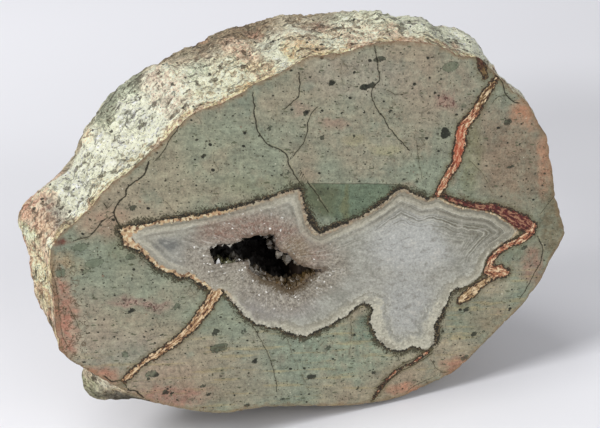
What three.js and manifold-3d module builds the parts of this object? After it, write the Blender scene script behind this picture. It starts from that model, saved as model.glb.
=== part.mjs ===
// Half of an agate-filled nodule, sawn through and polished on the cut, standing on a small flat spot.
// Millimetres, +Z up. The cut face looks along -Y, and its long way is X. The origin is on the surface
// that the stone stands on, under the middle of its box.
// The stone is one solid with a hollow in its cut face. The quartz crystals that line the hollow are a crust.

import * as THREE from "three";
import { ImprovedNoise } from "three/addons/math/ImprovedNoise.js";
import { mergeVertices } from "three/addons/utils/BufferGeometryUtils.js";
import Module from "manifold-3d";

const wasm = await Module();
wasm.setup();

// Sizes of the stone
const DEPTH = 49; // cut face to the back of the stone
const FACE_Y = -24.7; // plane of the cut
const AXIS = { x: 1.4, z: 47 }; // the line that the stone bulges around
const FRONT = 9; // material made in front of the cut and sawn off
const ROUND_OUT = 2.3; // squareness of the side near the cut: 2 is an ellipse
const ROUND_IN = 2.1; // squareness of the side near the back
const BLOCK = 300; // blocks that are taken away, larger than the stone
const AROUND = 110; // faces round the stone
const ALONG = 40; // faces from the front pole to the back pole
const FADE = 5; // distance behind the cut over which the rough side's lumps rise
const CALM = 0.45; // share of the way out from the back's middle over which they rise

// The edge of the cut face, as x and z, from the left end over the top
const RIM = [
  [-58.7, 54.4], [-57.6, 59], [-52.6, 62.6], [-48.1, 66.4], [-46.3, 68.8], [-40.9, 71.8], [-35.9, 75.6],
  [-30.9, 79.6], [-26.4, 82.4], [-20.2, 83.5], [-13.7, 86.4], [-7.2, 88.2], [-2.8, 90.4], [5.8, 90.1],
  [11.9, 91.2], [21, 90.2], [28.1, 88], [31.9, 85.4], [37.2, 83.9], [40.8, 80.1], [45.2, 75.6],
  [50.6, 70.4], [52.6, 66], [54.9, 62.9], [57.1, 54.8], [58.5, 46.9], [61.2, 39.4], [62, 35.8],
  [58.8, 30.4], [56.3, 24.5], [52.7, 19.9], [47.7, 15.5], [41.4, 9.8], [34.4, 4.6], [27.4, 2.7], [21, 1.2],
  [13.4, 1.5], [5.8, 2.6], [-4.1, 5.2], [-15, 7.4], [-22.1, 7.9], [-31.4, 11.4], [-40.1, 16],
  [-47.4, 22], [-54, 28.2], [-58.2, 33], [-58.4, 43.4],
];
const RIM_STEPS = 8; // steps of the smooth curve between two of these points

// How far the side swells past the edge of the cut behind it, by direction round the stone in degrees from +X
const BELLY = [
  [0, 1], [24, 1.5], [34, 1.2], [44, 5.6], [54, 2.8], [62, 2.6], [70, 5.4], [78, 2], [88, 1.6], [100, 0.4],
  [110, 4.2], [121, 6.2], [138, 7.6], [149, 9.2], [154, 5.4], [159, 2.6], [164, 7.2], [170, 8], [177, 4.4],
  [184, 5.8], [190, 2], [197, -3.2], [205, -3], [213, 3], [226, 3.2], [238, 4], [250, 5], [262, 7],
  [290, 9], [306, 8], [330, 4],
];
const BELLY_DEPTH = 17; // where behind the cut the swelling is largest
// Where behind the cut the outline starts and ends turning into a rounder one, which is averaged over
// directions up to a spread away, in degrees
const ROUNDING = { start: 12, end: 34, spread: 45, step: 3 };

// Separate lumps and grooves of the rough side: direction in degrees, distance behind the cut, half their
// width in degrees, half their length along Y and height, which is negative for a groove
const LUMPS = [
  [161, 24, 4, 12, -1],
  [211, 8, 8, 5, 5.4],
  [55, 6, 9, 6, 1],
  [268, 27, 26, 13, 8],
];

// Soft lumps all over the rough side, as size, height and where their noise is read
const RELIEF = [
  [21, 1.8, 3.7],
  [9.5, 1.2, 11.3],
  [5.2, 0.9, 23.9],
];

// The hollow and the crust of crystals that lines it
const MOUTH = [
  [-25.4, 50.2], [-22.6, 51.6], [-19.1, 51.4], [-14.6, 52], [-10.6, 51.2], [-9.3, 48.5], [-8.2, 45.2],
  [-6.8, 43.6], [-3.8, 42.4], [-0.2, 41.2], [2.4, 40.2], [0.3, 38.8], [-2.2, 36.9], [-6, 36],
  [-9.2, 37.6], [-12.8, 40], [-15.8, 43], [-17.8, 45.6], [-21.2, 46.8], [-23.4, 46.9],
];
const NECK = 5; // depth of the straight part behind the mouth
const OVERRUN = 2; // how far it is cut through the face
const CRUST = 2.2; // thickness of the crust
const GAP = 0.3; // between the crust and the stone
// The rounded rooms behind the mouth: centre, distance behind the cut, half sizes, tilt in degrees and
// how many crystals are spread over their walls
const ROOMS = [
  { x: -15.2, z: 47.4, back: 8, rx: 9, ry: 8, rz: 6, tilt: 8, crystals: 36 },
  { x: -7.2, z: 41.8, back: 8.5, rx: 8.4, ry: 8, rz: 6.2, tilt: 38, crystals: 36 },
  { x: -2, z: 39.3, back: 5.5, rx: 4.2, ry: 4.5, rz: 2.6, tilt: 8, crystals: 14 },
];
const ROOM_AROUND = 14; // faces round a room
const ROOM_ALONG = 9; // faces from its top to its bottom
// Six-sided crystals with pointed ends
const SIDES = 6;
const CRYSTAL = { small: 0.8, large: 1.5, taper: 0.94 }; // radii and narrowing of the prism
const ROOT = 1.3; // length of a crystal in the wall
const SHAFT = { room: 0.9, edge: 0.3, shown: 0.6 }; // lengths of prism, the first one the longest of many
const POINT = 1.1; // height of a crystal's point for each millimetre of its radius
const LEAN = 0.5; // how far crystals turn out of the wall's normal
const INSIDE = 0.94; // a foot this far into another room is left out
const JITTER = 0.4; // how unevenly the crystals follow each other round the mouth
const EDGE_ROWS = [0.8, 3.4]; // distances behind the cut of the crystals round the mouth
const EDGE_STEP = 4; // between crystals round the mouth
// Crystals that show in the mouth: foot, distance behind the cut, radius and direction
const SHOWN = [
  { x: -6, z: 44.9, back: 1.2, radius: 1.9, toward: [-0.3, 0.1, -0.95] },
  { x: -9.2, z: 46.6, back: 2.2, radius: 1.3, toward: [-0.9, 0.2, -0.4] },
  { x: -21.5, z: 46.7, back: 1.1, radius: 1.2, toward: [0.15, -0.1, 1] },
  { x: -19, z: 51.4, back: 0.8, radius: 1.1, toward: [0.1, 0.1, -1] },
  { x: -16.2, z: 52, back: 0.9, radius: 0.9, toward: [-0.2, 0, -1] },
];

const noise = new ImprovedNoise();
const degrees = THREE.MathUtils.radToDeg;
const radians = THREE.MathUtils.degToRad;
const smooth = (t) => THREE.MathUtils.smoothstep(t, 0, 1);
const wrap = (turn) => ((turn % 360) + 360) % 360;

// Radius of the cut face's edge by direction round the axis, read from a smooth closed curve.
function rimReader() {
  const curve = new THREE.CatmullRomCurve3(
    RIM.map(([x, z]) => new THREE.Vector3(x - AXIS.x, 0, z - AXIS.z)),
    true,
    "centripetal",
  );
  const rays = curve
    .getSpacedPoints(RIM.length * RIM_STEPS)
    .map((p) => ({ turn: wrap(degrees(Math.atan2(p.z, p.x))), radius: Math.hypot(p.x, p.z) }))
    .sort((a, b) => a.turn - b.turn);
  return (turn) => {
    const at = rays.findIndex((ray) => ray.turn > turn);
    const after = rays[at < 0 ? 0 : at];
    const before = rays[(at < 0 ? rays.length : at || rays.length) - 1];
    const share = wrap(turn - before.turn) / (wrap(after.turn - before.turn) || 1);
    return THREE.MathUtils.lerp(before.radius, after.radius, share);
  };
}

// Value of a table of [direction, amount] pairs, eased from one to the next.
function eased(table, turn) {
  const next = table.findIndex(([start]) => start > turn);
  const [b, end] = next < 0 ? [360, table[0][1]] : table[next];
  const [a, begin] = table[(next < 0 ? table.length : next) - 1];
  return THREE.MathUtils.lerp(begin, end, smooth((turn - a) / (b - a)));
}

// The same reading averaged over a wide part of the way round.
function softened(read) {
  const count = Math.round((2 * ROUNDING.spread) / ROUNDING.step) + 1;
  const offs = Array.from({ length: count }, (_, i) => i * ROUNDING.step - ROUNDING.spread);
  return (turn) => offs.reduce((sum, off) => sum + read(wrap(turn + off)), 0) / count;
}

// Height of the separate lumps and grooves at one place.
function lumps(turn, back) {
  return LUMPS.reduce((sum, [at, behind, wide, long, height]) => {
    const off = wrap(turn - at + 180) - 180;
    return sum + height * Math.exp(-((off / wide) ** 2) - ((back - behind) / long) ** 2);
  }, 0);
}

// Lumps and hollows of the rough outside.
function relief(p) {
  const lump = (size, at) => noise.noise(p.x / size + at, p.y / size - at, p.z / size + 2 * at);
  return RELIEF.reduce((sum, [size, height, at]) => sum + height * lump(size, at), 0);
}

// Moves each vertex of a unit ball, whose poles lie along Y, to the surface of the whole stone.
function stoneGeometry() {
  const rim = rimReader();
  const softRim = softened(rim);
  const belly = (turn) => eased(BELLY, turn);
  const softBelly = softened(belly);
  const ball = new THREE.SphereGeometry(1, AROUND, ALONG);
  const place = ball.getAttribute("position");
  const v = new THREE.Vector3();
  for (let i = 0; i < place.count; i++) {
    v.fromBufferAttribute(place, i);
    const turn = wrap(degrees(Math.atan2(v.z, v.x)));
    const across = Math.hypot(v.x, v.z);
    const behind = v.y > 0;
    const back = Math.abs(v.y) ** (2 / ROUND_IN) * (behind ? DEPTH : -FRONT);
    const width = Math.min(1, across) ** (2 / ROUND_OUT);
    const round = smooth((back - ROUNDING.start) / (ROUNDING.end - ROUNDING.start));
    const swell = THREE.MathUtils.lerp(belly(turn), softBelly(turn), round) * smooth(back / BELLY_DEPTH);
    const radius = (THREE.MathUtils.lerp(rim(turn), softRim(turn), round) + swell) * width;
    const x = AXIS.x + (across ? (v.x / across) * radius : 0);
    const z = AXIS.z + (across ? (v.z / across) * radius : 0);
    const out = new THREE.Vector3(x - AXIS.x, back, z - AXIS.z).normalize();
    const rise = behind ? smooth(back / FADE) * smooth(across / CALM) : 0;
    const rough = rise * (relief({ x, y: back, z }) + lumps(turn, back));
    place.setXYZ(i, x + out.x * rough, FACE_Y + back + out.y * rough, z + out.z * rough);
  }
  return ball;
}

// A closed solid from a geometry: corners that coincide are merged and faces without area are dropped.
function solid(geometry) {
  const bare = geometry.clone();
  bare.deleteAttribute("normal");
  bare.deleteAttribute("uv");
  const merged = mergeVertices(bare, 1e-4);
  const corners = merged.index.array;
  const faces = [];
  for (let i = 0; i < corners.length; i += 3) {
    const [a, b, c] = corners.slice(i, i + 3);
    if (a !== b && b !== c && c !== a) faces.push(a, b, c);
  }
  return new wasm.Manifold(
    new wasm.Mesh({
      numProp: 3,
      vertProperties: merged.getAttribute("position").array,
      triVerts: new Uint32Array(faces),
    }),
  );
}

function geometryOf(made) {
  const mesh = made.getMesh();
  return new THREE.BufferGeometry()
    .setAttribute("position", new THREE.BufferAttribute(new Float32Array(mesh.vertProperties), 3))
    .setIndex(new THREE.BufferAttribute(new Uint32Array(mesh.triVerts), 1))
    .toNonIndexed();
}

const block = () => new THREE.BoxGeometry(BLOCK, BLOCK, BLOCK);
const inFront = solid(block().translate(0, FACE_Y - BLOCK / 2, 0));
const below = solid(block().translate(0, 0, -BLOCK / 2));

// The mouth's outline moved outwards by a distance, as a shape in X and Z.
function mouthShape(grow) {
  const points = MOUTH.map(([x, z], i) => {
    const [ax, az] = MOUTH.at(i - 1);
    const [bx, bz] = MOUTH[(i + 1) % MOUTH.length];
    const out = new THREE.Vector2(az - bz, bx - ax).normalize();
    return new THREE.Vector2(x + out.x * grow, z + out.y * grow);
  });
  return new THREE.Shape(points);
}

// The hollow, larger all round by a distance: a straight neck behind the mouth and rooms behind that.
function hollow(grow) {
  const depth = NECK + grow + OVERRUN;
  const neck = new THREE.ExtrudeGeometry(mouthShape(grow), { depth, bevelEnabled: false })
    .rotateX(Math.PI / 2)
    .translate(0, FACE_Y + depth - OVERRUN, 0);
  return ROOMS.reduce((made, room) => made.add(solid(roomGeometry(room, grow))), solid(neck));
}

function roomGeometry({ x, z, back, rx, ry, rz, tilt }, grow) {
  return new THREE.SphereGeometry(1, ROOM_AROUND, ROOM_ALONG)
    .scale(rx + grow, ry + grow, rz + grow)
    .rotateY(radians(tilt))
    .translate(x, FACE_Y + back, z);
}

// A repeatable stream of numbers from 0 to 1.
function stream(seed) {
  let state = seed;
  return () => {
    state = (state * 1664525 + 1013904223) % 4294967296;
    return state / 4294967296;
  };
}

// A six-sided prism with a pointed end, its foot at one place and its point in one direction.
function crystal(foot, toward, radius, shaft, spin) {
  const profile = [
    [0, -ROOT],
    [radius, -ROOT],
    [radius * CRYSTAL.taper, shaft],
    [0, shaft + POINT * radius],
  ];
  const geometry = new THREE.LatheGeometry(profile.map(([r, y]) => new THREE.Vector2(r, y)), SIDES);
  const turned = new THREE.Quaternion().setFromUnitVectors(new THREE.Vector3(0, 1, 0), toward);
  return solid(geometry.rotateY(spin).applyQuaternion(turned).translate(foot.x, foot.y, foot.z));
}

// Whether a place lies inside one of these rooms.
function inRooms(place, rooms) {
  return rooms.some(({ x, z, back, rx, ry, rz, tilt }) => {
    const v = place.clone().sub(new THREE.Vector3(x, FACE_Y + back, z));
    v.applyAxisAngle(new THREE.Vector3(0, 1, 0), -radians(tilt));
    return (v.x / rx) ** 2 + (v.y / ry) ** 2 + (v.z / rz) ** 2 < INSIDE;
  });
}

// Whether a place lies behind the mouth's outline, counted by the sides that a line from it crosses.
function inMouth(x, z) {
  return MOUTH.reduce((inside, [ax, az], i) => {
    const [bx, bz] = MOUTH.at(i - 1);
    const crossed = az > z !== bz > z && x < ((bx - ax) * (z - az)) / (bz - az) + ax;
    return crossed ? !inside : inside;
  }, false);
}

// Turns a direction a little, by chance.
function lean(toward, chance) {
  const off = new THREE.Vector3(chance() - 0.5, chance() - 0.5, chance() - 0.5);
  return toward.addScaledVector(off, LEAN).normalize();
}

// Crystals over the walls of the rooms, spread by the golden angle.
function roomCrystals(chance) {
  const golden = Math.PI * (3 - Math.sqrt(5));
  return ROOMS.flatMap((room) => {
    const others = ROOMS.filter((other) => other !== room);
    const made = [];
    for (let i = 0; i < room.crystals; i++) {
      const up = 1 - (2 * i + 1) / room.crystals;
      const ring = Math.sqrt(1 - up * up);
      const unit = new THREE.Vector3(Math.cos(golden * i) * ring, up, Math.sin(golden * i) * ring);
      const sizes = new THREE.Vector3(room.rx, room.ry, room.rz);
      const axis = new THREE.Vector3(0, 1, 0);
      const place = unit.clone().multiply(sizes).applyAxisAngle(axis, radians(room.tilt));
      const inward = unit.clone().divide(sizes).applyAxisAngle(axis, radians(room.tilt)).negate();
      place.add(new THREE.Vector3(room.x, FACE_Y + room.back, room.z));
      lean(inward.normalize(), chance);
      const radius = THREE.MathUtils.lerp(CRYSTAL.small, CRYSTAL.large, chance());
      const shaft = SHAFT.room * chance();
      const spin = chance() * Math.PI;
      if (inRooms(place, others) || (place.y < FACE_Y + NECK && inMouth(place.x, place.z))) continue;
      made.push(crystal(place, inward, radius, shaft, spin));
    }
    return made;
  });
}

// Crystals in rows round the mouth, leaning into it.
function mouthCrystals(chance) {
  const edge = new THREE.Path(MOUTH.map(([x, z]) => new THREE.Vector2(x, z))).closePath();
  const count = Math.round(edge.getLength() / EDGE_STEP);
  return EDGE_ROWS.flatMap((back, row) => {
    const made = [];
    for (let i = 0; i < count; i++) {
      const share = ((i + row / 2 + JITTER * chance()) / count) % 1;
      const at = edge.getPointAt(share);
      const along = edge.getTangentAt(share);
      const foot = new THREE.Vector3(at.x, FACE_Y + back, at.y);
      const toward = lean(new THREE.Vector3(along.y, 0, -along.x), chance);
      const radius = THREE.MathUtils.lerp(CRYSTAL.small, CRYSTAL.large, chance() ** 2);
      const spin = chance() * Math.PI;
      if (row && inRooms(foot, ROOMS)) continue;
      made.push(crystal(foot, toward, radius, SHAFT.edge, spin));
    }
    return made;
  });
}

function shownCrystals() {
  return SHOWN.map(({ x, z, back, radius, toward }, i) => {
    const foot = new THREE.Vector3(x, FACE_Y + back, z);
    return crystal(foot, new THREE.Vector3(...toward).normalize(), radius, SHAFT.shown, i);
  });
}

const chance = stream(11);
const crystals = [...roomCrystals(chance), ...mouthCrystals(chance), ...shownCrystals()];
const stone = solid(stoneGeometry()).subtract(inFront).subtract(below).subtract(hollow(CRUST + GAP));
const crust = crystals
  .reduce((made, one) => made.add(one), hollow(CRUST).subtract(hollow(0)))
  .intersect(hollow(CRUST))
  .subtract(inFront);

const specimen = new THREE.Group();
function add(name, made, color, roughness) {
  const geometry = geometryOf(made);
  geometry.computeVertexNormals();
  const mesh = new THREE.Mesh(geometry, new THREE.MeshStandardMaterial({ color, roughness }));
  mesh.name = name;
  specimen.add(mesh);
}
add("nodule", stone, 0x8f927c, 0.55);
add("crystal_crust", crust, 0x9a8c86, 0.3);
export default specimen;
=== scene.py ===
"""Half of an agate-filled nodule, sawn and polished, with a crystal-lined hollow in its cut face.

Places in the lists are in millimetres, on the cut face as x and z. Every mesh is in metres.
"""

import math
import random

import bpy
import numpy as np
from mathutils import Matrix, Vector, noise
from mathutils.bvhtree import BVHTree


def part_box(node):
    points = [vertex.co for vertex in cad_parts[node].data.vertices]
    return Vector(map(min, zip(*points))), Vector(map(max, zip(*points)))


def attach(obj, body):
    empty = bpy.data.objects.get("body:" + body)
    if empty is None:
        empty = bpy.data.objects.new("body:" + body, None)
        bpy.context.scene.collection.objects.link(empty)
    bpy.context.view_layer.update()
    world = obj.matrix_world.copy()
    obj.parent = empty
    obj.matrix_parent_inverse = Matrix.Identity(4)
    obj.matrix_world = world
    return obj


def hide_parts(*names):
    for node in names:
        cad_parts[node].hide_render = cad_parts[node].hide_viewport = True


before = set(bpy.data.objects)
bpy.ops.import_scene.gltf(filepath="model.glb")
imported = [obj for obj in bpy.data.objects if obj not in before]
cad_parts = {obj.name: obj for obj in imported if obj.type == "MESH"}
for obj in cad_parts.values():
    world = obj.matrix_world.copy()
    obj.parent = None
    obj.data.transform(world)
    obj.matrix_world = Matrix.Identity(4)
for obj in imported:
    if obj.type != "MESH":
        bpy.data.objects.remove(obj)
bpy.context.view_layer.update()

MM = 0.001
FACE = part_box("nodule")[0].y / MM  # plane of the cut face
AXIS = (1.4, 47.0)  # middle of the cut face
CHANCE = random.Random(5)

# The agate's outline, from its left tip over the top
AGATE = [
    (-43.5, 59.1), (-39.4, 58.8), (-35.1, 58.8), (-30.8, 58.7), (-26.5, 58.5), (-23.2, 58.5), (-19.9, 58.6),
    (-16.5, 58.9), (-13.2, 59.2), (-9.8, 59.7), (-6.4, 60.2), (-4.3, 60.5), (-3.9, 58.3), (-3.2, 55.8),
    (-2.5, 53.5), (-2, 51.2), (-0.9, 49.7), (0.8, 48.4), (3.4, 49.1), (5.7, 49.6), (7.6, 50.2), (9.9, 50.7),
    (12.3, 51.7), (14.6, 52.7), (16.5, 53.8), (17.7, 55.1), (19.1, 55.8), (21.5, 54.8), (23.8, 53.4),
    (25.7, 52), (27, 52), (28.2, 52.8), (30.2, 51.4), (32.5, 50), (35, 48.7), (37.8, 47.7), (40.9, 46.6),
    (43.7, 45.2), (46.4, 42.9), (48.6, 40.9), (50.2, 39.5), (48.3, 38.1), (46, 37), (44.3, 36.1), (42.6, 34.9),
    (41.4, 33.3), (41.3, 31), (40.1, 29.4), (38.1, 28.2), (35.6, 27.7), (33.3, 27.7), (32.3, 25.8),
    (31.4, 23.6), (30, 21.2), (28.8, 19.1), (29.2, 16), (29, 13.9), (27.6, 12.6), (25.2, 14), (23.4, 15),
    (21.6, 14), (19.6, 14.5), (17.6, 15.8), (15.8, 17.6), (14.7, 19.4), (13.9, 21.8), (13.1, 23.5),
    (13.3, 25.3), (13.8, 26.5), (13, 28.3), (11.1, 29.2), (9.4, 28.6), (7.4, 27.2), (4.5, 26), (1.9, 24.8),
    (-0.7, 24.4), (-2.9, 23.9), (-5.1, 24.6), (-7, 25.8), (-8.8, 27.3), (-11.2, 28.1), (-14, 29.5),
    (-15.8, 31), (-17.4, 33.1), (-19, 35.8), (-20.5, 37.6), (-22.1, 39.7), (-23.9, 39.4), (-25.4, 40.7),
    (-26.7, 42.2), (-28.2, 43.8), (-29.5, 45), (-31.3, 44.9), (-33, 46.3), (-35, 47.6), (-36.4, 48.9),
    (-37.6, 50.8), (-39.1, 52.6), (-40.5, 53.8), (-42.2, 54.6), (-42.8, 56.2),
]
# The mouth of the hollow, with the points of its crystals and notches where larger ones stand
MOUTH = [
    (-25, 49.6), (-24.5, 49.9), (-24.1, 50.2), (-23.8, 50.9), (-23.5, 50.7), (-22.9, 51), (-22.4, 51.1), (-22, 50.2),
    (-21.6, 51), (-20.9, 50.8), (-20.3, 50.2), (-19.8, 49.9), (-19.4, 50.6), (-18.6, 50.7), (-17.8, 50.6),
    (-17.5, 51.2), (-17.2, 51.6), (-16.4, 51.2), (-15.4, 51.1), (-14.6, 51.4), (-13.7, 51.4), (-12.2, 50.8),
    (-11, 51.1), (-10.2, 50.6), (-9.8, 49.8), (-9.7, 48.6), (-9.6, 47.4), (-9, 46.9), (-8.3, 46), (-7.5, 45.7),
    (-6.7, 45.1), (-6, 44.1), (-5.1, 43.1), (-4.6, 42.2), (-4, 42.2), (-3.3, 41.4), (-2.4, 41.2), (-1.5, 40.6),
    (-0.5, 40.1), (0.6, 40), (1.7, 39.7), (0.8, 39.4), (-0.3, 39.4), (-1.3, 38.8), (-2.3, 38.4), (-3, 37.4),
    (-4.2, 36.7), (-5.6, 36), (-6.9, 36.3), (-8, 36.9), (-9, 37.8), (-9.9, 38.6), (-11.3, 39.4), (-12.6, 40.1),
    (-13.4, 41), (-14.2, 41.8), (-15.1, 42.5), (-15.8, 43.5), (-15.8, 44.6), (-16.1, 45.5), (-17.1, 45.6),
    (-17.9, 45.8), (-18.6, 46.1), (-19.7, 45.8), (-20.8, 45.9), (-21.8, 46.2), (-22.3, 46.4), (-22.9, 46.1),
    (-23.7, 46.8), (-23.9, 47.8), (-24.2, 48.2), (-24.5, 49),
]
# Veins: points, half widths along them and tone, from tan at 0 over salmon to dark red at 1
VEINS = [
    ([(28.4, 52.8), (30.7, 56.5), (32.9, 60.3), (33.5, 64.3), (33.8, 68.1), (36.5, 70.9), (38.7, 74.6), (41, 77.7),
      (41.6, 78.8)], (1.3, 1.4, 1.5, 1.75, 1.6, 1.5, 1.35, 1.1, 0.9), 0.5),
    ([(36.7, 84.4), (37.8, 82), (38.9, 79.2)], (0.6, 1.1, 0.8), 1.0),
    ([(-23.4, 39.2), (-26.7, 34.7), (-28.8, 32.4), (-31.1, 30.5), (-33.9, 28.8), (-36.4, 27.4), (-38.9, 26.3),
      (-41.2, 25), (-43.3, 23.5), (-44.9, 22.1)], (1.9, 1.6, 1.5, 1.4, 1.3, 1.2, 1.1, 1.0, 1.0, 0.9), 0.25),
    ([(29.1, 52.9), (32.2, 50.8), (35.5, 49.1), (39.3, 47.6), (42.4, 46.8), (45.3, 45.2), (48.2, 43.1),
      (50.6, 41.3), (52.8, 39.5)], (0.7, 1.0, 1.1, 1.2, 1.3, 1.5, 1.9, 2.2, 1.6), 0.85),
    ([(53.3, 40), (52.4, 38.1), (50.4, 36.9), (47.9, 36.4), (45.6, 35.6), (43.9, 34.6), (42.7, 33), (42.3, 31)],
     (1.4, 1.5, 1.3, 1.1, 1.3, 1.4, 1.3, 1.2), 0.6),
    ([(42.3, 30.7), (44.7, 29.7), (47.1, 28.9)], (1.6, 2.3, 1.5), 0.42),
    ([(42.6, 28.3), (40.8, 27.4), (39.1, 26.2), (37.1, 25), (35.6, 24.3)], (1.2, 1.4, 1.8, 1.9, 1.3), 0.0),
    ([(27.8, 12), (25.8, 10.8), (24.1, 9.9), (21.5, 9.4), (19.3, 8.3), (17.3, 6.6), (15.6, 4.5), (14.1, 2.4)],
     (0.8, 0.7, 0.7, 0.6, 0.7, 0.8, 0.8, 0.5), 0.62),
]
# Cracks: points and strength
CRACKS = [
    ([(-36.7, 73.3), (-38.1, 70), (-40.9, 68.7), (-42, 67.8), (-42, 66.2), (-43.6, 65.3), (-44.5, 63.9),
      (-44.8, 62.1), (-43.8, 60.1), (-43.5, 59.1)], 1.0),
    ([(-46.7, 65.3), (-45.8, 63.5), (-45.2, 62.7)], 0.8),
    ([(-14.4, 84.5), (-14.2, 80.5), (-13.8, 77.3), (-13.4, 75.4), (-12.3, 73.6), (-11.2, 72.1), (-8.8, 70.7),
      (-7.2, 69.3), (-6.4, 66.3), (-5, 63.5), (-3.4, 60.8)], 0.85),
    ([(-0.3, 78.8), (-1.2, 78.1), (-1.6, 77.5), (-2.2, 76.6), (-2.3, 75.1), (-2.5, 73.3), (-3, 72), (-3.9, 70.5),
      (-5.9, 68.1), (-6.8, 66.4), (-6.4, 63.5), (-6.4, 60.7)], 0.75),
    ([(12.6, 90.4), (13.1, 86.8), (13.9, 82.6), (12.6, 81.4), (11.9, 80.2), (12.2, 78.5), (13.1, 76.5),
      (14.1, 74.8), (14.9, 73.9), (15.7, 72.4), (16.3, 70.9), (17.5, 69.5), (18.5, 68.1), (19.5, 67), (20.7, 65.6),
      (21.4, 64.8)], 0.8),
    ([(18.2, 68.4), (19, 66.2), (19.8, 64.8), (19.9, 63.1)], 0.55),
    ([(15.7, 72.4), (15.1, 71.3), (14.9, 70.7)], 0.6),
    ([(14.7, 76.5), (15.7, 77.3), (16.3, 77.4), (17.8, 76.2)], 0.35),
    ([(-4.1, 65), (-3.4, 63.9), (-2.5, 62.1), (-1.6, 60.5), (-0.4, 58.6), (1, 56.2), (2.4, 53.7)], 0.75),
    ([(-11.2, 71.8), (-6.3, 68.9)], 0.4),
    ([(-33.9, 63.4), (-32.5, 61.3), (-30.8, 58.9)], 0.45),
    ([(-15.4, 29.4), (-13.1, 24.4), (-11.3, 19.8), (-10.3, 15.9), (-9.7, 10.4)], 0.65),
    ([(-7.2, 24.1), (-6, 19.3), (-4.1, 14.9), (-1.9, 8.7)], 0.45),
    ([(3.1, 22.4), (-0.2, 19.3), (-2.7, 17.7), (-2.9, 15.1)], 0.45),
    ([(8.2, 26.5), (8.3, 21.2), (7.9, 16)], 0.5),
    ([(19.6, 14), (20.7, 11), (20.3, 7.2)], 0.6),
    ([(-23.8, 35.6), (-23.2, 31.9), (-22.6, 28.2), (-21.5, 23.9)], 0.35),
    ([(-20.3, 70.3), (-20.1, 66.1), (-20.7, 61.6)], 0.3),
    ([(15.6, 80), (16.5, 79.4), (17.5, 78.6), (18.6, 78.6), (19.8, 78.4)], 0.55),
    ([(35.4, 60.5), (37.2, 58.5), (39.3, 56.4), (40.7, 53.6), (42.4, 50)], 0.5),
    ([(23.3, 65.4), (23.4, 63.5), (23.8, 61.2), (24.3, 59.2), (24.6, 57.4)], 0.55),
    ([(5.4, 88), (5, 85.8), (5.5, 83)], 0.4),
    ([(-20.8, 36.9), (-18.1, 33.3), (-16.3, 30.3)], 0.4),
    ([(54.8, 37), (56.4, 33.6), (56.2, 29.9), (54.3, 26.5), (52.5, 23.2), (50.8, 20.8)], 0.8),
    ([(58.5, 46.9), (56.6, 44.7), (54.9, 42.7)], 0.6),
    ([(37.2, 83.9), (38.1, 81.4), (39, 78.8)], 0.7),
    ([(-48.6, 61.5), (-50, 59.5), (-51.7, 58.5), (-53.8, 58.2)], 0.8),
    ([(-26.1, 72), (-21.7, 72.8), (-16.9, 73.5), (-13.4, 73.4)], 0.3),
    ([(28.4, 10.5), (29.6, 7.7), (31.5, 5.6), (33.8, 5)], 0.6),
    ([(22.3, 2.3), (26.1, 3.8), (30.2, 4.8)], 0.6),
    ([(0.2, 24.4), (-1.2, 20.8), (-2.7, 18.5)], 0.35),
    ([(-9.8, 83.1), (-9.4, 78.6), (-9.2, 74)], 0.25),
    ([(-32.3, 75.6), (-32, 73.3)], 0.3),
    ([(-4.4, 87.4), (-4.1, 84.6), (-4.2, 82.1), (-5.8, 80.8), (-7.6, 79.5)], 0.8),
    ([(-28.2, 81.9), (-29.9, 80.1), (-32.0, 77.5), (-33.8, 74.9), (-35.1, 73.2), (-36.7, 72.2)], 0.75),
    ([(-44.9, 62.9), (-46.5, 61.8), (-47.8, 60.9), (-48.7, 59.7), (-50, 58.6), (-51.5, 58.4)], 0.85),
    ([(-49, 24.5), (-47.4, 22.5), (-45.2, 22.5), (-43.9, 20.1), (-41.4, 17.9), (-39.2, 15.8)], 0.9),
    ([(27.6, 88.3), (30, 87.3), (31.2, 86), (33.1, 85), (36.7, 84.2)], 1.0),
    ([(41.6, 79.7), (43.2, 76.9), (44.1, 74.1), (46.2, 72.1), (47.7, 71.6)], 0.85),
    ([(44.3, 74.8), (41.9, 73.8), (40.8, 72.6)], 0.6),
    ([(29.6, 75.2), (30.2, 72.5), (32.7, 70.6)], 0.35),
    ([(-57.8, 54.2), (-58.4, 52), (-57.8, 49), (-57.6, 45.2), (-57.5, 40.8), (-57.4, 36.7), (-55.9, 32.2)], 0.55),
    ([(-55.6, 43.5), (-54.9, 41.7), (-54.2, 39.1), (-53.5, 37)], 0.5),
    ([(-46.7, 64.8), (-46, 62.8), (-44.9, 62.9), (-43.8, 60.6)], 0.7),
    ([(-44.2, 19.7), (-42.2, 18.9), (-41.1, 17.6), (-40.5, 16.1), (-39.2, 15.5)], 1.0),
    ([(-48.2, 22.7), (-46.5, 22.3), (-45.4, 22.5), (-44.8, 20.6), (-44.5, 18.2)], 0.8),
    ([(-32.5, 24), (-31.8, 19.6), (-31, 15.8), (-30.6, 13.6)], 0.35),
    ([(29.2, 11.5), (26.5, 10.2), (24.1, 9.1), (21.3, 8.5), (19, 7.2), (17, 5.4), (15.1, 3.3), (13.6, 1.6)], 0.85),
    ([(28.4, 12.9), (25.9, 11.7), (24.3, 10.9), (21.8, 10.5), (19.9, 9.4), (18.1, 7.7), (16.4, 5.6)], 0.75),
]
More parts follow.
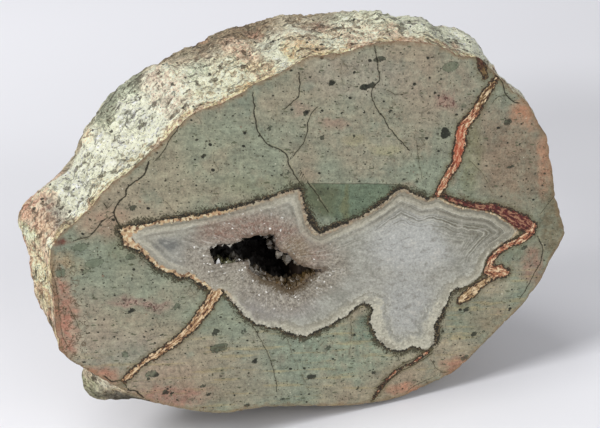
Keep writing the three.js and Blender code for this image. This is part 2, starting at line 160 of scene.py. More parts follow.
# Spots: place, radius, how much longer than high, and tone, from black at 0 to pale with a dark edge at 1
SPOTS = [
    (-25.4, 72.1, 0.6, 1, 0), (-24.9, 74.1, 0.3, 1, 0), (-10.8, 75.9, 0.7, 1.3, 0.3), (10.5, 81.5, 1.1, 2.2, 0),
    (12.1, 81.7, 0.9, 1.2, 0.1), (13.8, 87.3, 1, 2, 0.25), (13.9, 84.2, 0.4, 1, 0), (3, 83.7, 0.7, 1.3, 0),
    (24.9, 85.8, 0.4, 1.2, 0), (26.1, 85.9, 0.3, 1.2, 0), (30.3, 83, 1.5, 1.8, 0.85), (29.6, 67.5, 1.3, 0.8, 0),
    (30.6, 67.2, 0.8, 0.8, 0.1), (45, 67.5, 1, 1.3, 0.35), (-2.8, 77.9, 0.7, 1.4, 0.1), (5.4, 76.3, 0.35, 1, 0),
    (0.9, 71.5, 0.7, 1, 0.35), (26.9, 77.5, 0.55, 0.6, 0), (-41.7, 46.7, 0.5, 1, 0), (-36.2, 43.8, 0.6, 1.4, 0),
    (-42.3, 39.1, 0.75, 1.3, 0), (-37.6, 21.9, 0.5, 1.4, 0.1), (-39.2, 21.2, 0.45, 1.2, 0), (-38.4, 22.8, 0.4, 1, 0.2),
    (-36, 16.5, 0.45, 1.4, 0), (-27.7, 16.3, 0.4, 1.3, 0), (-23, 11.9, 0.45, 1.5, 0), (-34.2, 16.3, 0.35, 1, 0), (-32.2, 37.8, 0.8, 1, 0.5), (-23.7, 29.5, 0.9, 1, 0.2), (-23.1, 25.3, 1.6, 1.8, 0.45),
    (-17.3, 28.3, 0.8, 1, 0.4), (-14.2, 27.3, 0.6, 1, 0.4), (-41.9, 52, 1.0, 1.3, 0.6), (-49.4, 52.2, 1.5, 2.4, 0.9),
    (-51.4, 50.6, 0.8, 2, 0.9), (-56.6, 51.4, 1.1, 1, 0.8), (-52.2, 56.5, 1.3, 1.8, 0.85), (-44.2, 28.8, 0.9, 1, 0.7),
    (-53.3, 29, 0.5, 1, 0), (-38.7, 22.4, 1.0, 1.3, 0.6), (-35.5, 16.9, 0.7, 1.4, 0.2), (-25.7, 13.9, 0.6, 1.4, 0.2),
    (-27, 16.4, 0.6, 1.4, 0.3), (-16.9, 8.7, 0.8, 2, 0.3), (2.7, 19.1, 0.7, 1.1, 0.3), (-1.4, 12.4, 1.0, 1.8, 0.15),
    (10.2, 6.4, 0.4, 1, 0), (37.2, 21.2, 0.65, 1.2, 0.1), (39.6, 14.1, 0.8, 1.4, 0.15), (42, 14.1, 0.5, 1, 0.3),
    (37.6, 8, 0.9, 1.8, 0.4), (9, 21.1, 0.35, 1, 0), (-51.6, 42.6, 0.4, 1, 0), (-16.4, 21.1, 0.35, 1.5, 0),
    (-14.8, 19.9, 0.8, 1, 0), (14.2, 9.8, 0.6, 1.6, 0.2), (51.6, 34.8, 0.8, 1.6, 0.3), (53.3, 29.4, 0.5, 1.8, 0.2),
    (20.2, 58, 0.5, 1.6, 0.1), (23.1, 57, 0.45, 1.5, 0.1), (9.5, 59.8, 0.45, 1.6, 0), (30.4, 28.6, 0.35, 1, 0),
    (-40.9, 63.2, 0.85, 1.6, 0.35), (-6.8, 65, 0.55, 1, 0.4), (-10.4, 67.1, 0.45, 1.6, 0.3), (46.6, 56.4, 0.7, 3, 0.3),
    (-31.8, 68.6, 0.35, 1, 0), (-35.6, 66.4, 0.35, 1.4, 0.2), (-29.5, 70.6, 0.3, 1.5, 0), (16.6, 75.2, 0.35, 1, 0),
    (7.9, 80.6, 0.3, 1, 0), (10.3, 72.4, 0.35, 1.4, 0.2), (22.0, 80.5, 0.35, 1, 0), (48.5, 61.5, 0.35, 1.3, 0.1),
    (51.5, 49.8, 0.3, 1.4, 0), (-46.5, 33.5, 0.35, 1.8, 0), (-38.5, 34.4, 0.4, 1.6, 0), (-36.0, 31.6, 0.4, 2.2, 0.1),
    (-48.6, 35.2, 0.35, 2.6, 0.3), (-44.0, 40.2, 0.3, 1.2, 0), (-47.2, 45.3, 0.3, 1.6, 0.1), (-39.6, 44.4, 0.3, 1.0, 0),
    (6.2, 9.4, 0.5, 1.5, 0.3), (-8.3, 8.2, 0.45, 1.6, 0.3), (-5.0, 18.6, 0.4, 1.4, 0.2), (28.0, 3.4, 0.5, 1.4, 0.3),
]


# ---------- meshes


def deselect():
    for piece in bpy.context.selected_objects:
        piece.select_set(False)


def only(piece):
    """Makes one piece the selected and active one."""
    deselect()
    piece.select_set(True)
    bpy.context.view_layer.objects.active = piece


def points_of(piece):
    flat = np.empty(len(piece.data.vertices) * 3)
    piece.data.vertices.foreach_get("co", flat)
    return flat.reshape(-1, 3)


def put_points(piece, points):
    piece.data.vertices.foreach_set("co", points.ravel())
    piece.data.update()


def normals_of(piece):
    flat = np.empty(len(piece.data.vertices) * 3, np.float32)
    piece.data.vertex_normals.foreach_get("vector", flat)
    return flat.reshape(-1, 3).astype(float)


def store(piece, name, values):
    """Keeps one number for each vertex, for the material."""
    layer = piece.data.attributes.new(name, "FLOAT", "POINT")
    layer.data.foreach_set("value", np.asarray(values, np.float32))


def modify(piece, kind, **settings):
    only(piece)
    modifier = piece.modifiers.new(kind.title(), kind)
    for name, value in settings.items():
        setattr(modifier, name, value)
    bpy.ops.object.modifier_apply(modifier=modifier.name)


def ease(value, low, high):
    """0 below low, 1 above high and smooth in between."""
    t = np.clip((np.asarray(value, float) - low) / (high - low), 0, 1)
    return t * t * (3 - 2 * t)


def to_line(places, line, closed=False):
    """For each place: distance to a line, the side it is on, how far past the line's ends it is, and its
    position along the line counted in points."""
    line = np.asarray(line, float)
    ends = np.roll(line, -1, axis=0) if closed else line[1:]
    best = np.full(len(places), 1e9)
    side = np.ones(len(places))
    past = np.zeros(len(places))
    along = np.zeros(len(places))
    for i, (a, b) in enumerate(zip(line, ends)):
        run = b - a
        from_a = places - a
        share = from_a @ run / (run @ run)
        held = np.clip(share, 0, 1)
        away = np.linalg.norm(from_a - held[:, None] * run, axis=1)
        nearer = away < best
        cross = run[0] * from_a[:, 1] - run[1] * from_a[:, 0]
        over = np.abs(share - held) * np.linalg.norm(run)
        best[nearer] = away[nearer]
        side[nearer] = np.where(cross[nearer] < 0, -1, 1)
        past[nearer] = over[nearer] if not closed else 0
        along[nearer] = i + held[nearer]
    return best, side, past, along


def inside(places, outline):
    """Whether each place lies inside a closed outline."""
    outline = np.asarray(outline, float)
    odd = np.zeros(len(places), bool)
    for (ax, az), (bx, bz) in zip(outline, np.roll(outline, 1, axis=0)):
        if az == bz:
            continue
        spans = (az > places[:, 1]) != (bz > places[:, 1])
        at = (bx - ax) * (places[:, 1] - az) / (bz - az) + ax
        odd ^= spans & (places[:, 0] < at)
    return odd


def depth_in(places, outline):
    """Distance to a closed outline, positive inside."""
    return to_line(places, outline, closed=True)[0] * np.where(inside(places, outline), 1, -1)


def wandering(line, step, sway, seed):
    """The same line with more points, which wander off it a little."""
    points = []
    for a, b in zip(np.asarray(line[:-1], float), np.asarray(line[1:], float)):
        count = max(1, int(np.linalg.norm(b - a) / step))
        for i in range(count):
            p = a + (b - a) * i / count
            off = noise.noise_vector(Vector((p[0] * 0.9, seed, p[1] * 0.9)))
            fine = noise.noise_vector(Vector((p[0] * 2.7, seed + 5, p[1] * 2.7)))
            points.append((p[0] + sway * (off.x + 0.5 * fine.x), p[1] + sway * (off.z + 0.5 * fine.z)))
    points.append(tuple(line[-1]))
    return points


# ---------- the nodule

CELLS = 156  # cells across the cut face
RINGS = 62  # rings of faces from the cut face to the back grid
BACK_TURN = 62.0  # degrees from the cut face to the edge of the back grid
GATHERED = (-11.5, 45.0)  # place on the cut face round which its grid is drawn together
GATHER_REACH, GATHER_SHARE = 34.0, 0.5  # how far out, and how much of the spacing is taken away there
WALL = 2.3  # how far the hollow widens behind its mouth
MIDDLE = [(-20, 49), (-13.5, 47), (-9, 42.5), (-5, 39.5), (-1, 39.6)]  # of the hollow, seen from the front


def blank_nodule():
    """A closed mesh: a square grid for the cut face, rings behind its edge and a grid for the back."""
    deselect()
    bpy.ops.mesh.primitive_grid_add(x_subdivisions=CELLS, y_subdivisions=CELLS, size=2)
    piece = bpy.context.object
    bpy.ops.object.mode_set(mode="EDIT")
    bpy.ops.mesh.select_all(action="SELECT")
    bpy.ops.mesh.region_to_loop()
    for _ in range(RINGS):
        bpy.ops.mesh.extrude_edges_move(TRANSFORM_OT_translate={"value": (0, 0, -1)})
    bpy.ops.object.mode_set(mode="OBJECT")
    deselect()
    bpy.ops.mesh.primitive_grid_add(
        x_subdivisions=CELLS, y_subdivisions=CELLS, size=2, location=(0, 0, -RINGS), rotation=(math.pi, 0, 0)
    )
    back = bpy.context.object
    only(piece)
    back.select_set(True)
    bpy.ops.object.join()
    bpy.ops.object.mode_set(mode="EDIT")
    bpy.ops.mesh.select_all(action="SELECT")
    bpy.ops.mesh.remove_doubles(threshold=0.001)
    bpy.ops.mesh.normals_make_consistent(inside=False)
    bpy.ops.object.mode_set(mode="OBJECT")
    piece.name = "nodule_stone"
    return piece


def solid_reader(node):
    """Distance from the middle of the cut face to the outside of a solid, by direction."""
    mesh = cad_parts[node].data
    tree = BVHTree.FromPolygons([v.co / MM for v in mesh.vertices], [tuple(p.vertices) for p in mesh.polygons])
    far = 300.0

    def reach(way, lift=0.0):
        middle = Vector((AXIS[0], FACE + lift, AXIS[1]))
        hit = tree.ray_cast(middle + way * far, -way)[0]
        return (hit - middle).length

    return reach


def chipped(turn, radius):
    """The edge of the cut face with its small chips."""
    x, z = math.cos(turn) * radius, math.sin(turn) * radius
    small = noise.noise(Vector((x / 1.3, 3.1, z / 1.3)))
    large = noise.noise(Vector((x / 4.5, 8.7, z / 4.5)))
    return radius - 0.5 * max(0, small) - 0.9 * max(0, large - 0.15)


# Where the stone stands out a little more than its solid: x, depth behind the face, z, radius and height
SWELLS = [
    (-53, 13, 69, 6, 2.3), (-61, 10, 60, 4, -0.7), (-51, 8, 19, 6, 2.4), (-47, 12, 15, 5, 1.4), (42, 6, 83, 4, 1.0),
]


def roughness(p):
    """Depth of the rough skin at a place, in millimetres, positive outwards."""
    lumps = noise.fractal(p / 7.5, 1.0, 2.0, 2)
    turn = math.atan2(p.x - AXIS[0], p.z - AXIS[1])  # from the top, so that the seam is underneath
    flow = Vector((turn * 55 / 6.5, p.y / 1.9, math.hypot(p.x - AXIS[0], p.z - AXIS[1]) / 1.9))
    leaves = noise.ridged_multi_fractal(flow, 0.8, 2.1, 3, 1.0, 2.0) - 1.1
    knobs = noise.fractal(p / 2.2 + Vector((7, 3, 1)), 0.6, 2.1, 3)
    cell = noise.voronoi(p / 3.2 + Vector((2, 2, 8)))[0]
    pit = max(0.0, 0.32 - cell[0]) * 3.6
    seam = max(0.0, 0.12 - (cell[1] - cell[0])) * 2.5
    swell = sum(h * math.exp(-((p - Vector((x, FACE + d, z))).length / r) ** 2) for x, d, z, r, h in SWELLS)
    return 0.8 * lumps + 0.52 * leaves + 0.6 * knobs - pit - seam, swell


def shaped_nodule():
    piece = blank_nodule()
    grid = points_of(piece)
    u, v, ring = grid[:, 0], grid[:, 1], np.round(-grid[:, 2]).astype(int)
    x = u * np.sqrt(1 - v**2 / 2)
    z = v * np.sqrt(1 - u**2 / 2)
    turn = np.arctan2(z, x)
    out = np.minimum(1, np.hypot(x, z))
    reach = solid_reader("nodule")

    turns = np.linspace(-math.pi, math.pi, 1441)
    edge = [reach(Vector((math.cos(t), 0, math.sin(t))), 0.05) for t in turns]
    edge = [chipped(t, r) for t, r in zip(turns, edge)]
    radius = np.interp(turn, turns, edge)
    points = np.empty_like(grid)
    points[:, 0] = AXIS[0] + np.cos(turn) * out * radius
    points[:, 1] = FACE
    points[:, 2] = AXIS[1] + np.sin(turn) * out * radius
    front = ring == 0
    off = points[:, [0, 2]] - GATHERED
    near = np.clip(np.linalg.norm(off, axis=1) / GATHER_REACH, 0, 1)
    drawn = np.where(front, GATHER_SHARE * (1 - near**2) ** 2, 0)
    points[:, [0, 2]] -= off * drawn[:, None]

    share = ring / RINGS
    lean = np.where(out > 0.9999, share * BACK_TURN, 90 - (90 - BACK_TURN) * out)
    lean = np.radians(lean)
    for i in np.where(~front)[0]:
        level = math.cos(lean[i])
        way = Vector((math.cos(turn[i]) * level, math.sin(lean[i]), math.sin(turn[i]) * level))
        points[i] = Vector((AXIS[0], FACE, AXIS[1])) + way * reach(way)
    put_points(piece, points * MM)

    rough = piece.vertex_groups.new(name="rough")
    weight = np.where(front, 0, np.clip(ring / 3, 0, 1))
    for level in (1 / 3, 2 / 3, 1):
        members = np.where(np.abs(weight - level) < 0.01)[0]
        rough.add([int(i) for i in members], float(level), "REPLACE")
    modify(piece, "SMOOTH", factor=0.5, iterations=22, vertex_group="rough")

    points = points_of(piece) / MM
    normals = normals_of(piece)
    relief = np.array([roughness(Vector(p)) if w > 0 else (0, 0) for p, w in zip(points, weight)])
    lift = relief[:, 0]
    lift = np.where(lift > 0, 0.6 * lift, lift) - 0.15 + relief[:, 1]
    near_edge = np.clip(ring / 4, 0, 1)
    points += normals * (lift * weight * near_edge)[:, None]
    points[:, 1] = np.where(front, FACE, np.maximum(points[:, 1], FACE + 0.05))
    points[:, 2] = np.maximum(points[:, 2], 0)
    return piece, points, front, out, radius


def open_hollow(points, front):
    """Sinks the part of the cut face inside the mouth, and gives the vertices that are now walls."""
    here = np.where(front)[0]
    places = points[here][:, [0, 2]]
    jagged = wandering(MOUTH + MOUTH[:1], 0.35, 0.08, 2.0)[:-1]
    depth = depth_in(places, jagged)
    outline = np.asarray(jagged)
    near = np.abs(depth) < 0.27
    for k in np.where(near)[0]:
        a, b = outline, np.roll(outline, -1, axis=0)
        run = b - a
        share = np.clip(((places[k] - a) * run).sum(1) / (run * run).sum(1), 0, 1)
        foot = a + share[:, None] * run
        places[k] = foot[np.argmin(np.linalg.norm(foot - places[k], axis=1))]
    sunk = (depth > 0) & ~near
    middle = np.array(MIDDLE, float)
    for k in np.where(sunk)[0]:
        nearest = outline[np.argmin(np.linalg.norm(outline - places[k], axis=1))]
        core = middle[np.argmin(np.linalg.norm(middle - nearest, axis=1))]
        away = (nearest - core) / max(0.5, np.linalg.norm(nearest - core))
        spread = 1 - ease(depth[k], 1.4, 3.0)
        places[k] = places[k] * (1 - spread) + (nearest + away * WALL) * spread
        points[here[k], 1] = FACE + 2.5 + 15 * ease(depth[k], 0.8, 2.2)
    points[here, 0] = places[:, 0]
    points[here, 2] = places[:, 1]
    wall = np.zeros(len(points), bool)
    wall[here[sunk]] = True
    return wall


def store_markings(piece, points, front, wall, out, radius):
    """Distances to the agate, the hollow, the veins, the cracks and the spots, for the face's material."""
    here = np.where(front)[0]
    places = points[here][:, [0, 2]]

    def keep(name, values, elsewhere):
        whole = np.full(len(points), float(elsewhere))
        whole[here] = values
        store(piece, name, whole)

    keep("agate", depth_in(places, AGATE), -20)
    keep("hollow", -depth_in(places, MOUTH), 20)
    keep("rim", (1 - out[here]) * radius[here], 20)

    vein = np.full(len(here), -20.0)
    tone = np.zeros(len(here))
    across, run = np.zeros(len(here)), np.zeros(len(here))
    for n, (line, halves, colour) in enumerate(VEINS):
        away, side, past, along = to_line(places, line)
        half = np.interp(along, range(len(halves)), halves)
        lengths = np.linalg.norm(np.diff(np.asarray(line), axis=0), axis=1)
        amount = half - np.hypot(away, past * 0.5)
        deeper = amount > vein
        vein[deeper] = amount[deeper]
        tone[deeper] = colour
        across[deeper] = (away * side)[deeper] + 9 * n
        run[deeper] = np.interp(along, range(len(halves)), np.concatenate([[0], np.cumsum(lengths)]))[deeper]
    keep("vein", vein, -20)
    keep("tone", tone, 0)
    keep("across", across, 0)
    keep("run", run, 0)

    crack = np.full(len(here), 9.0)
    strong = np.zeros(len(here))
    for n, (line, strength) in enumerate(CRACKS):
        away, side, past, _ = to_line(places, wandering(line, 0.8, 0.25, n * 3.0))
        mask = strength * (1 - ease(away, 1.0, 1.8)) * (1 - ease(past, 0.0, 0.5))
        stronger = mask > strong
        crack[stronger] = (away * side)[stronger]
        strong[stronger] = mask[stronger]
    keep("crack", crack, 9)
    keep("crack_strength", strong, 0)

    spot = np.full(len(here), -9.0)
    pale = np.zeros(len(here))
    for x, z, size, long, shade in SPOTS:
        off = np.hypot((places[:, 0] - x) / math.sqrt(long), (places[:, 1] - z) * math.sqrt(long))
        pale[size - off > spot] = shade
        spot = np.maximum(spot, size - off)
    keep("spot", spot, -9)
    keep("spot_tone", pale, 0)


def share_out(piece, points, front, wall):
    """Gives each face its material: 0 polished, 1 rough skin, 2 the hollow's wall."""
    slots = []
    for face in piece.data.polygons:
        corners = list(face.vertices)
        if wall[corners].any():
            slots.append(2)
        elif front[corners].all():
            slots.append(0)
        else:
            slots.append(1)
    piece.data.polygons.foreach_set("material_index", slots)


nodule, places, front, out, radius = shaped_nodule()
wall = open_hollow(places, front)
put_points(nodule, places * MM)
store_markings(nodule, places, front, wall, out, radius)
share_out(nodule, places, front, wall)
only(nodule)
bpy.ops.object.shade_smooth_by_angle(angle=math.radians(45))


# ---------- the crust of crystals

LINING = [  # depth behind the cut face, how far outwards, share of the way to the hollow's middle line
    (0.25, -0.05, 0), (0.8, 0.25, 0), (1.7, 0.8, 0), (3.0, 1.3, 0), (5.0, 1.6, 0), (7.5, 1.7, 0), (10, 1.4, 0),
    (12.5, 0.6, 0), (14.5, 0, 0.3), (16, 0, 0.65), (16.8, 0, 0.9),
]
AROUND = 240  # points round the lining


def spaced(outline, count):
    """Points at equal distances round a closed outline."""
    ring = np.vstack([outline, outline[:1]])
    run = np.concatenate([[0], np.cumsum(np.linalg.norm(np.diff(ring, axis=0), axis=1))])
    at = np.linspace(0, run[-1], count, endpoint=False)
    return np.column_stack([np.interp(at, run, ring[:, 0]), np.interp(at, run, ring[:, 1])])


def lining():
    """The crust itself: a sleeve behind the mouth that widens and closes at the back."""
    deselect()
    bpy.ops.mesh.primitive_circle_add(vertices=AROUND, radius=1, fill_type="NOTHING")
    piece = bpy.context.object
    bpy.ops.object.mode_set(mode="EDIT")
    bpy.ops.mesh.select_all(action="SELECT")
    for _ in LINING[1:]:
        bpy.ops.mesh.extrude_edges_move(TRANSFORM_OT_translate={"value": (0, 0, -1)})
    bpy.ops.mesh.edge_face_add()
    bpy.ops.object.mode_set(mode="OBJECT")
    grid = points_of(piece)
    ring = np.round(-grid[:, 2]).astype(int)
    order = np.round(np.arctan2(grid[:, 1], grid[:, 0]) / (2 * math.pi) * AROUND).astype(int) % AROUND
    jagged = np.asarray(wandering(MOUTH + MOUTH[:1], 0.35, 0.08, 2.0)[:-1])
    edge = spaced(jagged, AROUND)[::-1]
    spine = np.array(MIDDLE, float)
    points = np.empty_like(grid)
    for k, (depth, spread, close) in enumerate(LINING):
        for _ in range(3 if k else 0):
            edge = 0.5 * edge + 0.25 * (np.roll(edge, 1, axis=0) + np.roll(edge, -1, axis=0))
        core = spine[np.argmin(np.linalg.norm(edge[:, None] - spine[None], axis=2), axis=1)]
        away = edge - core
        away /= np.maximum(0.5, np.linalg.norm(away, axis=1))[:, None]
        moved = (edge + away * spread) * (1 - close) + core * close
        at = ring == k
        points[at, 0] = moved[order[at], 0]
        points[at, 1] = FACE + depth
        points[at, 2] = moved[order[at], 1]
        for i in np.where(at)[0]:
            if k:
                p = Vector(points[i])
                sway = noise.noise_vector(p / 1.4) * min(0.35, 0.12 * k)
                points[i] += np.array(sway)
    put_points(piece, points * MM)
    only(piece)
    bpy.ops.object.mode_set(mode="EDIT")
    bpy.ops.mesh.select_all(action="SELECT")
    bpy.ops.mesh.normals_make_consistent(inside=True)
    bpy.ops.object.mode_set(mode="OBJECT")
    return piece


def crystal():
    """One six-sided crystal, 1 across its radius and 2 high to its point, standing on z = 0."""
    deselect()
    bpy.ops.mesh.primitive_cylinder_add(vertices=6, radius=1, depth=1, location=(0, 0, 0.5))
    piece = bpy.context.object
    bpy.ops.object.transform_apply(location=True)
    bpy.ops.object.mode_set(mode="EDIT")
    bpy.ops.mesh.select_all(action="DESELECT")
    bpy.ops.object.mode_set(mode="OBJECT")
    for face in piece.data.polygons:
        face.select = face.normal.z > 0.9
    bpy.ops.object.mode_set(mode="EDIT")
    bpy.ops.mesh.select_mode(type="FACE")
    bpy.ops.mesh.extrude_region_move(TRANSFORM_OT_translate={"value": (0, 0, 1)})
    bpy.ops.mesh.merge(type="CENTER")
    bpy.ops.object.mode_set(mode="OBJECT")
    return piece


def grown(master, foot, way, radius, length, spin, shade):
    """A copy of the crystal at its place: length is the part up to its point's foot, shade 0 dim to 1 white and above 1
    a painted glint.
    """
    mesh = master.data.copy()
    turn = Vector(way).to_track_quat("Z", "Y").to_matrix().to_4x4()
    size = Matrix.Diagonal((radius, radius, length, 1))
    mesh.transform(Matrix.Translation(Vector(foot)) @ turn @ Matrix.Rotation(spin, 4, "Z") @ size)
    piece = bpy.data.objects.new("crystal", mesh)
    bpy.context.scene.collection.objects.link(piece)
    layer = mesh.attributes.new("shade", "FLOAT", "POINT")
    layer.data.foreach_set("value", [shade] * len(mesh.vertices))
    return piece


# Crystals that the eye picks out: foot as x, depth and z, direction, radius, length, turn and shade; a shade above 1
# makes a painted glint
PICKED = [
    ((-6.5, 1.1, 44.8), (-0.15, -0.06, -1), 1.15, 1.4, 0.5, 0.26),
    ((-8.4, 1.0, 45.9), (-0.3, -0.1, -0.9), 0.85, 0.8, 0.2, 0.42),
    ((-8.2, 2.2, 44.2), (-0.5, -0.4, -0.5), 0.65, 0.5, 0.0, 0.2),
    ((-4.8, 0.6, 43.2), (-0.1, -0.1, -1), 0.7, 0.5, 0.3, 0.3),
    ((-3.7, 0.6, 42.5), (0.1, -0.1, -1), 0.55, 0.45, 0.1, 0.2),
    ((-2.6, 0.6, 42.0), (0.0, -0.1, -1), 0.6, 0.45, 0.6, 0.3),
    ((-1.4, 0.6, 41.4), (0.0, -0.1, -1), 0.5, 0.4, 0.6, 0.2),
    ((0.0, 0.6, 40.8), (0.1, -0.1, -1), 0.45, 0.3, 0.2, 0.25),
    ((-22.8, 0.35, 45.5), (0.1, -0.15, 1), 0.5, 1.1, 0.4, 1.6),
    ((-20.4, 0.5, 44.8), (0.0, -0.15, 1), 1.15, 0.9, 0.3, 0.34),
    ((-18.7, 0.5, 44.8), (0.2, -0.1, 1), 0.7, 0.75, 0.0, 0.5),
    ((-17.4, 0.5, 44.6), (0.1, -0.1, 1), 0.6, 0.7, 0.4, 0.3),
    ((-16.2, 0.5, 44.2), (0.3, -0.1, 1), 0.7, 0.8, 0.7, 0.4),
    ((-24.5, 0.4, 47.2), (0.5, -0.1, 0.8), 0.45, 0.5, 0.1, 1.2),
    ((-23.3, 0.3, 51.5), (-0.3, -0.05, -1), 0.6, 0.75, 0.2, 0.8),
    ((-21.7, 0.3, 51.5), (0.0, -0.05, -1), 0.6, 0.7, 0.5, 0.6),
    ((-20.1, 0.3, 51.2), (0.1, -0.05, -1), 0.75, 0.85, 0.0, 0.7),
    ((-18.5, 0.3, 51.6), (0.2, -0.05, -1), 0.6, 0.65, 0.3, 0.5),
    ((-15.3, 0.3, 52.1), (0.0, -0.05, -1), 0.7, 0.55, 0.1, 0.7),
    ((-12.8, 0.3, 51.8), (-0.2, -0.05, -1), 0.6, 0.5, 0.1, 0.5),
    ((-10.6, 2.6, 49.8), (-0.7, -0.4, -0.4), 0.8, 0.7, 0.2, 0.15),
    ((-9.5, 3.0, 47.6), (-0.8, -0.4, -0.2), 0.95, 0.8, 0.5, 0.25),
    ((-9.2, 3.6, 46.0), (-0.8, -0.3, 0.1), 0.7, 0.7, 0.8, 0.2),
]


# The line of the mouth's lower edge along which a ledge of crystals stands: x, z and how deep it goes
LEDGE = [
    (-15.2, 43.6, 1.2), (-14.2, 41.9, 1.6), (-12, 40.0, 2.0), (-9.5, 38.4, 2.6), (-7.5, 37, 3.4), (-5.4, 36.4, 4.0),
    (-3.4, 37.4, 4.0), (-1.8, 38.6, 3.4), (0.2, 39.2, 2.2),
]


def ledge(master):
    """Short crystals side by side on the floor of the hollow, behind the lower edge of its mouth."""
    line = np.asarray(LEDGE)
    made = []
    for _ in range(130):
        at = CHANCE.random() * (len(line) - 1)
        x, z, reach = (np.interp(at, range(len(line)), line[:, i]) for i in range(3))
        depth = 0.5 + CHANCE.random() * reach
        radius = CHANCE.uniform(0.32, 0.75)
        foot = Vector((x + 0.3 * depth + CHANCE.uniform(-0.4, 0.4), FACE + depth, z - 0.9 + 0.12 * depth)) * MM
        way = (CHANCE.uniform(-0.6, 0.6), CHANCE.uniform(-0.7, 0.2), 1)
        length = radius * CHANCE.uniform(0.7, 1.3)
        shade = 0.1 + 0.65 * CHANCE.random() ** 2
        made.append(grown(master, foot, way, radius * MM, length * MM, CHANCE.random() * 3, shade))
    return made


def crust():
    sleeve = lining()
    sleeve.name = "hollow_crust"
    master = crystal()
    seats = [(f.center.copy() / MM, f.normal.copy(), f.area / MM**2) for f in sleeve.data.polygons]
    seats = [s for s in seats if s[2] < 6]
    grown_here = []
    for foot, way, radius, length, spin, shade in PICKED:
        place = Vector((foot[0], FACE + foot[1], foot[2])) * MM
        grown_here.append(grown(master, place, way, radius * MM, length * MM, spin, shade))
    grown_here += ledge(master)
    for place, normal, _ in seats:
        depth = place.y - FACE
        if CHANCE.random() > (0.3 if depth > 6 else 0.5 if place.x < -9 else 0.85):
            continue
        sway = Vector((CHANCE.uniform(-1, 1), CHANCE.uniform(-1, 1), CHANCE.uniform(-1, 1)))
        way = (normal + 0.45 * sway).normalized()
        if depth < 2.2:
            way.y = max(way.y, 0.05)
        grows = 0.3 + 0.5 * CHANCE.random() ** 2 + 0.35 * ease(depth, 2, 8)
        if depth < 1.2:
            grows *= 0.6
        length = grows * CHANCE.uniform(0.5, 1.3)
        foot = (place - way * 0.3 * grows) * MM
        shade = 0.5 * CHANCE.random()
        grown_here.append(grown(master, foot, way, grows * MM, length * MM, CHANCE.random() * 3, shade))
    # the sleeve gets a shade below 0, which paints it dark as painted shade
    shade = sleeve.data.attributes.new("shade", "FLOAT", "POINT")
    shade.data.foreach_set("value", [-1.0] * len(sleeve.data.vertices))
    bpy.data.objects.remove(master)
    only(sleeve)
    modify(sleeve, "SOLIDIFY", thickness=0.0004, offset=-1)
    only(sleeve)
    for piece in grown_here:
        piece.select_set(True)
    bpy.ops.object.join()
    points = points_of(sleeve) / MM
    points[:, 1] = np.maximum(points[:, 1], FACE + 0.12)
    put_points(sleeve, points * MM)
    return sleeve


crust_piece = crust()


# ---------- materials


def tint(red, green, blue):
    """A colour as the eye names it, 0 to 255, for a shader."""
    return tuple((c / 255) ** 2.2 for c in (red, green, blue)) + (1.0,)


class Socket:
    """A shader output whose maths reads as Python."""

    def __init__(self, paint, socket):
        self.paint = paint
        self.socket = socket

    def maths(self, operation, first, second=0.0):
        return self.paint.node("ShaderNodeMath", {"operation": operation}, {0: first, 1: second})

    def __add__(self, other):
        return self.maths("ADD", self, other)

    def __sub__(self, other):
        return self.maths("SUBTRACT", self, other)

    def __rsub__(self, other):
        return self.maths("SUBTRACT", other, self)

    def __mul__(self, other):
        return self.maths("MULTIPLY", self, other)

    def __truediv__(self, other):
        return self.maths("DIVIDE", self, other)

    def __abs__(self):
        return self.maths("ABSOLUTE", self)

    def least(self, other):
        return self.maths("MINIMUM", self, other)

    __radd__ = __add__
    __rmul__ = __mul__


